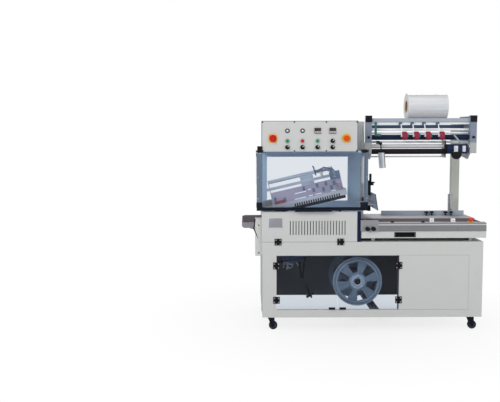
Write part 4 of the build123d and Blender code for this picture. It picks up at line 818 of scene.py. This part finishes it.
# Fittings of the seal arm, placed on the closed arm and raised with it
RAISE = about(PIVOT, -ARM_TILT)
SEAT = -0.3178              # just inside the front of the arm's upright plate
SLIT_HEIGHT = 0.006
CLIP_WIDTH, CLIP_HEIGHT = 0.018, 0.030
COMB_LEFT, COMB_PITCH, TOOTH_WIDTH, TEETH = -0.474, 0.0165, 0.0095, 20
SPRING_Y, SPRING_LENGTH, SPRING_RADIUS, SPRING_TURNS = -0.328, 0.05, 0.010, 5
slits = [(-0.575, 0.022, 0.868), (-0.464, 0.081, 0.866), (-0.365, 0.031, 0.868),
         (-0.316, 0.044, 0.868), (-0.204, 0.031, 0.866), (-0.455, 0.080, 0.905),
         (-0.360, 0.020, 0.912)]
clips = [(-0.605, 0.885), (-0.540, 0.868), (-0.395, 0.915), (-0.330, 0.890), (-0.300, 0.915),
         (-0.262, 0.880), (-0.238, 0.915), (-0.205, 0.880), (-0.182, 0.905)]
teeth = [COMB_LEFT + COMB_PITCH * i for i in range(TEETH)]
springs = [(-0.245, 0.985), (-0.160, 0.960), (-0.142, 0.872)]
box_piece("arm_flat_bar", "seal_arm", BEAM,
          ((-0.640, -0.318, 0.966), (-0.190, -0.308, 0.986)), turn=RAISE)
box_piece("arm_plate_slits", "seal_arm", WHITE,
          *[((x, -0.3196, z), (x + length, SEAT, z + SLIT_HEIGHT)) for x, length, z in slits],
          radius=0.0004, turn=RAISE)
box_piece("arm_plate_clips", "seal_arm", STRIP,
          *[((x, -0.326, z), (x + CLIP_WIDTH, -0.3175, z + CLIP_HEIGHT)) for x, z in clips],
          turn=RAISE)
box_piece("arm_comb", "seal_arm", KNIFE,
          *[((x, -0.323, 0.812), (x + TOOTH_WIDTH, SEAT, 0.842)) for x in teeth],
          radius=0.0006, turn=RAISE)
box_piece("arm_comb_rail", "seal_arm", KNIFE,
          ((-0.480, -0.3215, 0.842), (-0.140, SEAT, 0.848)), radius=0.0006, turn=RAISE)
tube_piece("arm_springs", "seal_arm", FASTENER,
           *[coil_path((x, SPRING_Y, z), (x, SPRING_Y, z + SPRING_LENGTH), SPRING_RADIUS,
                       SPRING_TURNS) for x, z in springs], radius=0.0022, turn=RAISE)
tube_piece("arm_air_pipes", "seal_arm", STRIP,
           [(-0.28, -0.318, 1.026), (-0.22, -0.334, 1.044), (-0.165, -0.33, 1.02),
            (-0.135, -0.326, 0.98), (-0.13, -0.32, 0.94)],
           [(-0.26, -0.316, 1.018), (-0.21, -0.333, 1.022), (-0.165, -0.33, 0.995),
            (-0.15, -0.32, 0.95)], turn=RAISE)
box_piece("arm_air_valve", "seal_arm", STRIP, ((-0.192, -0.333, 0.948), (-0.120, -0.312, 1.0)),
          ((-0.185, -0.331, 1.0), (-0.165, -0.319, 1.02)), turn=RAISE)
tube_piece("arm_lever", "seal_arm", BLUE_BAR,
           [(-0.284, -0.317, 1.00), (-0.288, -0.321, 1.060), (-0.294, -0.322, 1.068)],
           radius=0.005, turn=RAISE)
box_piece("arm_red_end", "seal_arm", RUST_RED,
          ((-0.606, -0.327, 0.866), (-0.530, SEAT, 0.886)), turn=RAISE)
turned_piece("arm_dial", "seal_arm", MAUVE, [(0.014, 0.0), (0.014, 0.006), (0.011, 0.008)],
             [RAISE @ Vector((-0.142, SEAT, 0.905))])
box_piece("arm_end_plate", "seal_arm", MAUVE,
          ((-0.161, -0.318, 0.860), (-0.118, -0.312, 0.950)), turn=RAISE)

# Corner plates at the guard's lower edge, and the flanges of its side strips
PLATE_Y, PLATE_Z = (FRONT - 0.0162, FRONT - 0.0145), (0.866, 0.903)
FLANGE_Y, FLANGE_Z = (FRONT - 0.0150, FRONT - 0.0120), (0.870, 1.238)
box_piece("guard_corner_plates", "guard", BLACK_PAINT,
          slab((-0.7443, -0.7025), PLATE_Y, PLATE_Z),
          slab((-0.0300, 0.0233), PLATE_Y, PLATE_Z), radius=0.0004)
box_piece("guard_flanges", "guard", STRIP,
          slab((-0.7222, -0.7025), FLANGE_Y, FLANGE_Z),
          slab((-0.0075, 0.0040), FLANGE_Y, FLANGE_Z))

# Dark line round the face plate, and the thumbwheel windows
GAP_Y, GAP_X, GAP_Z = (FRONT - 0.0024, FRONT - 0.0018), (-0.7068, -0.0480), (1.2440, 1.4595)
WINDOW_WIDTH, WINDOW_PITCH = 0.012, 0.0142
box_piece("face_plate_gap", "machine", BLUE_BAR,
          slab(GAP_X, GAP_Y, (GAP_Z[0], 1.2475)), slab(GAP_X, GAP_Y, (1.4560, GAP_Z[1])),
          slab((-0.7085, -0.7045), GAP_Y, GAP_Z), slab((-0.0530, -0.0485), GAP_Y, GAP_Z),
          radius=0.0002)
box_piece("thumbwheel_windows", "machine", TURNED,
          *[((x + i * WINDOW_PITCH, -0.3937, 1.376),
             (x + WINDOW_WIDTH + i * WINDOW_PITCH, -0.3929, 1.388))
            for x in (-0.345, -0.242) for i in range(3)], radius=0.0003)

# Reel: hub rings, plug and the raised edges of the front disc
REEL_AT = Vector((-0.028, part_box("waste_reel")[0].y, 0.329))
REEL_STEPS = 48
turned_piece("reel_hub_rings", "waste_reel", REEL_EDGE,
             [(0.052, 0.0), (0.052, 0.003), (0.047, 0.003), (0.047, 0.001), (0.034, 0.001),
              (0.034, 0.005), (0.029, 0.005), (0.029, 0.002), (0.018, 0.002)], [REEL_AT],
             segments=REEL_STEPS)
turned_piece("reel_hub_plug", "waste_reel", BLACK,
             [(0.021, 0.0), (0.021, 0.0050), (0.012, 0.0055)], [REEL_AT])
mesh = bmesh.new()
for radius in (0.1715, 0.1475):
    angles = [a / REEL_STEPS * math.tau for a in range(REEL_STEPS + 1)]
    ring = [REEL_AT + Vector((radius * math.cos(a), -0.0005, radius * math.sin(a)))
            for a in angles]
    tube_along(mesh, ring, 0.0024, 6)
settle("reel_edges", mesh, REEL_EDGE, "waste_reel")

# Behind the left door: the film lift with its post, motor and pipes, a bracket and a clamp
BRACKET_Y = -0.1
CLAMP_AT, CLAMP_LEAN = (-0.35, 0, 0.195), -0.55
# The lift wears the darker cream as painted shade
box_piece("inner_lift", "machine", SHADED_CREAM, ((-0.550, -0.10, 0.415), (-0.470, -0.06, 0.468)),
          ((-0.525, -0.12, 0.385), (-0.510, -0.10, 0.425)),
          ((-0.520, -0.09, 0.460), (-0.490, -0.07, 0.622)), radius=0.003)
box_piece("inner_lift_motor", "machine", BLUE_BAR,
          ((-0.500, -0.13, 0.430), (-0.450, -0.06, 0.478)), radius=0.006)
tube_piece("inner_pipes", "machine", BARE,
           [(-0.550, -0.125, 0.400), (-0.530, -0.135, 0.450), (-0.500, -0.13, 0.425),
            (-0.465, -0.125, 0.460), (-0.435, -0.12, 0.415)],
           [(-0.535, -0.12, 0.445), (-0.50, -0.13, 0.395), (-0.475, -0.12, 0.415)])
tube_piece("inner_bracket", "machine", BLACK,
           [(x, BRACKET_Y, z) for x, z in (
               (-0.425, 0.622), (-0.423, 0.400), (-0.412, 0.325), (-0.402, 0.315),
               (-0.395, 0.400), (-0.398, 0.622))], radius=0.006)
box_piece("inner_clamp", "machine", BLACK, ((-0.380, -0.12, 0.186), (-0.318, -0.09, 0.202)),
          ((-0.355, -0.12, 0.172), (-0.341, -0.09, 0.218)),
          ((-0.354, -0.10, 0.190), (-0.346, 0.277, 0.199)), radius=0.003,
          turn=about(CLAMP_AT, CLAMP_LEAN))
# A dark sheet at the back of the cabinet: painted shade
box_piece("inner_shade_sheet", "machine", INSIDE, ((-0.700, 0.276, 0.111), (0.42, 0.280, 0.60)))
# A darker cream strip on the left side: painted shade
box_piece("left_side_shade_strip", "machine", SHADED_CREAM,
          ((-0.7090, -0.366, 0.135), (-0.7025, -0.30, 0.535)))

# Groove round the right-hand cover panel, and the seams of the table's front
GROOVE_Y = (FRONT - 0.0003, FRONT + 0.001)
SEAM_Y = (FRONT - 0.0035, FRONT - 0.0029)
box_piece("cover_seam", "machine", COLUMN,
          slab((0.7305, 0.7325), GROOVE_Y, (0.147, 0.532)),
          slab((0.250, 0.732), GROOVE_Y, (0.5305, 0.5325)),
          slab((0.250, 0.732), GROOVE_Y, (0.1465, 0.1485)), radius=0.0002)
box_piece("table_seams", "infeed_table", BLUE_BAR,
          slab((-0.014, 0.842), SEAM_Y, (0.7375, 0.7392)),
          slab((0.648, 0.6492), SEAM_Y, (0.7, 0.737)), radius=0.0002)

# Bezel round the pull cup: lower and upper bar, then the two sides
PULL_X, PULL_Z = (0.209, 0.357), (0.6615, 0.6885)
BEZEL_Y, BEZEL_WIDTH, BEZEL_LAP = (FRONT - 0.003, FRONT), 0.005, 0.001
BEZEL_Z = (PULL_Z[0] - 0.004, PULL_Z[1] + 0.004)
box_piece("pull_bezel", "infeed_table", BLACK,
          slab(PULL_X, BEZEL_Y, (BEZEL_Z[0], PULL_Z[0] + BEZEL_LAP)),
          slab(PULL_X, BEZEL_Y, (PULL_Z[1] - BEZEL_LAP, BEZEL_Z[1])),
          slab((PULL_X[0], PULL_X[0] + BEZEL_WIDTH), BEZEL_Y, BEZEL_Z),
          slab((PULL_X[1] - BEZEL_WIDTH, PULL_X[1]), BEZEL_Y, BEZEL_Z), radius=0.0025)

# Knurled ends of the two knobs on the front plate
turned_piece("front_knob_caps", "infeed_table", BLACK,
             [(0.012, 0.0), (0.013, 0.002), (0.011, 0.004)],
             [(x, FRONT - 0.0278, 0.718) for x in (0.024, 0.065)])

# Rack: label patches, lever, teal bracket, gearhead's end and wheel guards
LABEL_Y, LABEL_Z = (-0.2712, -0.2695), (1.243, 1.285)
box_piece("rack_label_patches", "machine", BARE,
          slab((0.640, 0.668), LABEL_Y, LABEL_Z), slab((0.700, 0.722), LABEL_Y, LABEL_Z),
          radius=0.0004)
tube_piece("rack_lever", "machine", BEAM,
           [(0.660, -0.19, 1.36), (0.705, -0.20, 1.305)],
           [(0.700, -0.20, 1.305), (0.712, -0.20, 1.30)], radius=0.006)
box_piece("rack_teal_bracket", "machine", TEAL,
          ((0.100, -0.185, 1.36), (0.114, -0.165, 1.4535)),
          ((0.100, -0.190, 1.352), (0.145, -0.170, 1.366)), radius=0.002)
turned_piece("gearhead_end", "machine", BLACK,
             [(0.030, 0.0), (0.034, 0.004), (0.034, 0.030), (0.029, 0.034)],
             [(0.6645, -0.225, 1.224)])
box_piece("wheel_guards", "machine", TEAL,
          *[slab((x + 0.012, x + 0.024), (-0.218, -0.206), (1.345, 1.372))
            for x in (0.309, 0.393, 0.476)])

# Cross grip of the crank, and the bracket bar under the outfeed end
box_piece("crank_cross_grip", "crank_handle", BLACK,
          ((0.082, -0.012, 1.0066), (0.134, 0.010, 1.0176)), radius=0.006)
tube_piece("outfeed_bar", "machine", BLACK_PAINT,
           [(-0.752, -0.364, 0.785), (-0.762, -0.363, 0.72), (-0.730, -0.360, 0.645)])


# Stage, light and camera

FLOOR_HALF = 10.0
FLOOR_FRONT, CURVE_START, CURVE_RADIUS, WALL_TOP = -9.0, 3.0, 1.5, 8.0
CURVE_STEPS = 12
LENS_MM, SENSOR_MM = 54.0, 36.0
CAMERA_AT = (-0.805, -5.519, 1.374)
YAW, PITCH, ROLL = 0.195, 5.14, -0.165      # degrees
LIGHT_AIM = (0.0, 0.0, 0.8)


def seen_directly(tree):
    """1 for rays from the camera or through clear acrylic, 0 for the rest."""
    rays = add(tree, "ShaderNodeLightPath")
    return math_node(tree, "MAXIMUM", rays.outputs["Is Camera Ray"],
                     rays.outputs["Is Transmission Ray"])


def stage_sweep():
    """A pale floor that curves up into the backdrop."""
    mat, tree, shader = new_material("pale_stage")
    cloud = add(tree, "ShaderNodeTexNoise", Vector=coordinates(tree), Scale=1.5, Detail=2.0)
    tint = blend_colors(tree, cloud.outputs["Fac"], (0.80, 0.80, 0.80, 1.0),
                        (0.84, 0.84, 0.84, 1.0))
    tree.links.new(tint, shader.inputs["Base Color"])
    shader.inputs["Roughness"].default_value = 0.9
    seen = seen_directly(tree)
    glow = add(tree, "ShaderNodeEmission", Color=(1.0, 1.0, 1.0, 1.0), Strength=1.0)
    where = add(tree, "ShaderNodeTexCoord").outputs["Object"]
    far = add(tree, "ShaderNodeVectorMath", {"operation": "LENGTH"}, i0=where).outputs["Value"]
    share = math_node(tree, "MULTIPLY_ADD", far, 0.16, True, 0.74)
    part = math_node(tree, "MULTIPLY", seen, share)
    mix = add(tree, "ShaderNodeMixShader", i0=part, i1=shader.outputs[0], i2=glow.outputs[0])
    tree.links.new(mix.outputs[0], tree.nodes["Material Output"].inputs["Surface"])
    mesh = bmesh.new()
    profile = [(FLOOR_FRONT, 0.0), (CURVE_START, 0.0)]
    for i in range(1, CURVE_STEPS + 1):
        angle = math.radians(90 * i / CURVE_STEPS)
        profile.append((CURVE_START + CURVE_RADIUS * math.sin(angle),
                        CURVE_RADIUS - CURVE_RADIUS * math.cos(angle)))
    profile.append((CURVE_START + CURVE_RADIUS, WALL_TOP))
    rows = [[mesh.verts.new((x, y, z)) for y, z in profile] for x in (-FLOOR_HALF, FLOOR_HALF)]
    for i in range(len(profile) - 1):
        mesh.faces.new((rows[0][i], rows[1][i], rows[1][i + 1], rows[0][i + 1]))
    for face in mesh.faces:
        face.smooth = True
    data = bpy.data.meshes.new("stage_sweep")
    mesh.to_mesh(data)
    mesh.free()
    data.materials.append(mat)
    sweep = new_object("stage_sweep", data)


def soft_light(name, place, target, size, power):
    """An area lamp aimed at a point."""
    lamp = bpy.data.lights.new(name, "AREA")
    lamp.shape = "RECTANGLE"
    lamp.size, lamp.size_y = size
    lamp.energy = power
    fixture = new_object(name, lamp)
    fixture.location = place
    aim = Vector(target) - Vector(place)
    fixture.rotation_euler = aim.to_track_quat("-Z", "Y").to_euler()


def white_world(level):
    """A world that lights evenly and looks white where it is seen."""
    world = bpy.data.worlds.new("studio")
    bpy.context.scene.world = world
    world.use_nodes = True
    tree = world.node_tree
    back = tree.nodes["Background"]
    strength = math_node(tree, "MULTIPLY_ADD", seen_directly(tree), 1.0 - level, False, level)
    tree.links.new(strength, back.inputs["Strength"])
    back.inputs["Color"].default_value = (1.0, 1.0, 1.0, 1.0)


def photo_camera():
    """The photograph's view: place, turn and lens found from known points of the machine."""
    camera = bpy.data.cameras.new("photo_camera")
    camera.sensor_width = SENSOR_MM
    camera.lens = LENS_MM
    camera.clip_end = 100.0
    viewer = new_object("photo_camera", camera)
    yaw, pitch, roll = (math.radians(a) for a in (YAW, PITCH, ROLL))
    ahead = Vector((math.sin(yaw) * math.cos(pitch), math.cos(yaw) * math.cos(pitch),
                    -math.sin(pitch)))
    side = Vector((math.cos(yaw), -math.sin(yaw), 0.0))
    above = side.cross(ahead)
    right = math.cos(roll) * side + math.sin(roll) * above
    up = math.cos(roll) * above - math.sin(roll) * side
    turn = Matrix((right, up, -ahead)).transposed().to_4x4()
    viewer.matrix_world = Matrix.Translation(CAMERA_AT) @ turn
    bpy.context.scene.camera = viewer


stage_sweep()
white_world(0.52)
soft_light("key_softbox", (-3.2, -4.6, 3.6), LIGHT_AIM, (2.6, 2.2), 118.0)
soft_light("fill_softbox", (3.4, -4.2, 2.4), LIGHT_AIM, (2.4, 2.4), 52.0)
soft_light("rear_softbox", (0.5, 2.6, 3.4), (0.0, 0.0, 0.9), (3.0, 1.4), 40.0)
photo_camera()
bpy.context.scene.view_settings.view_transform = "Standard"
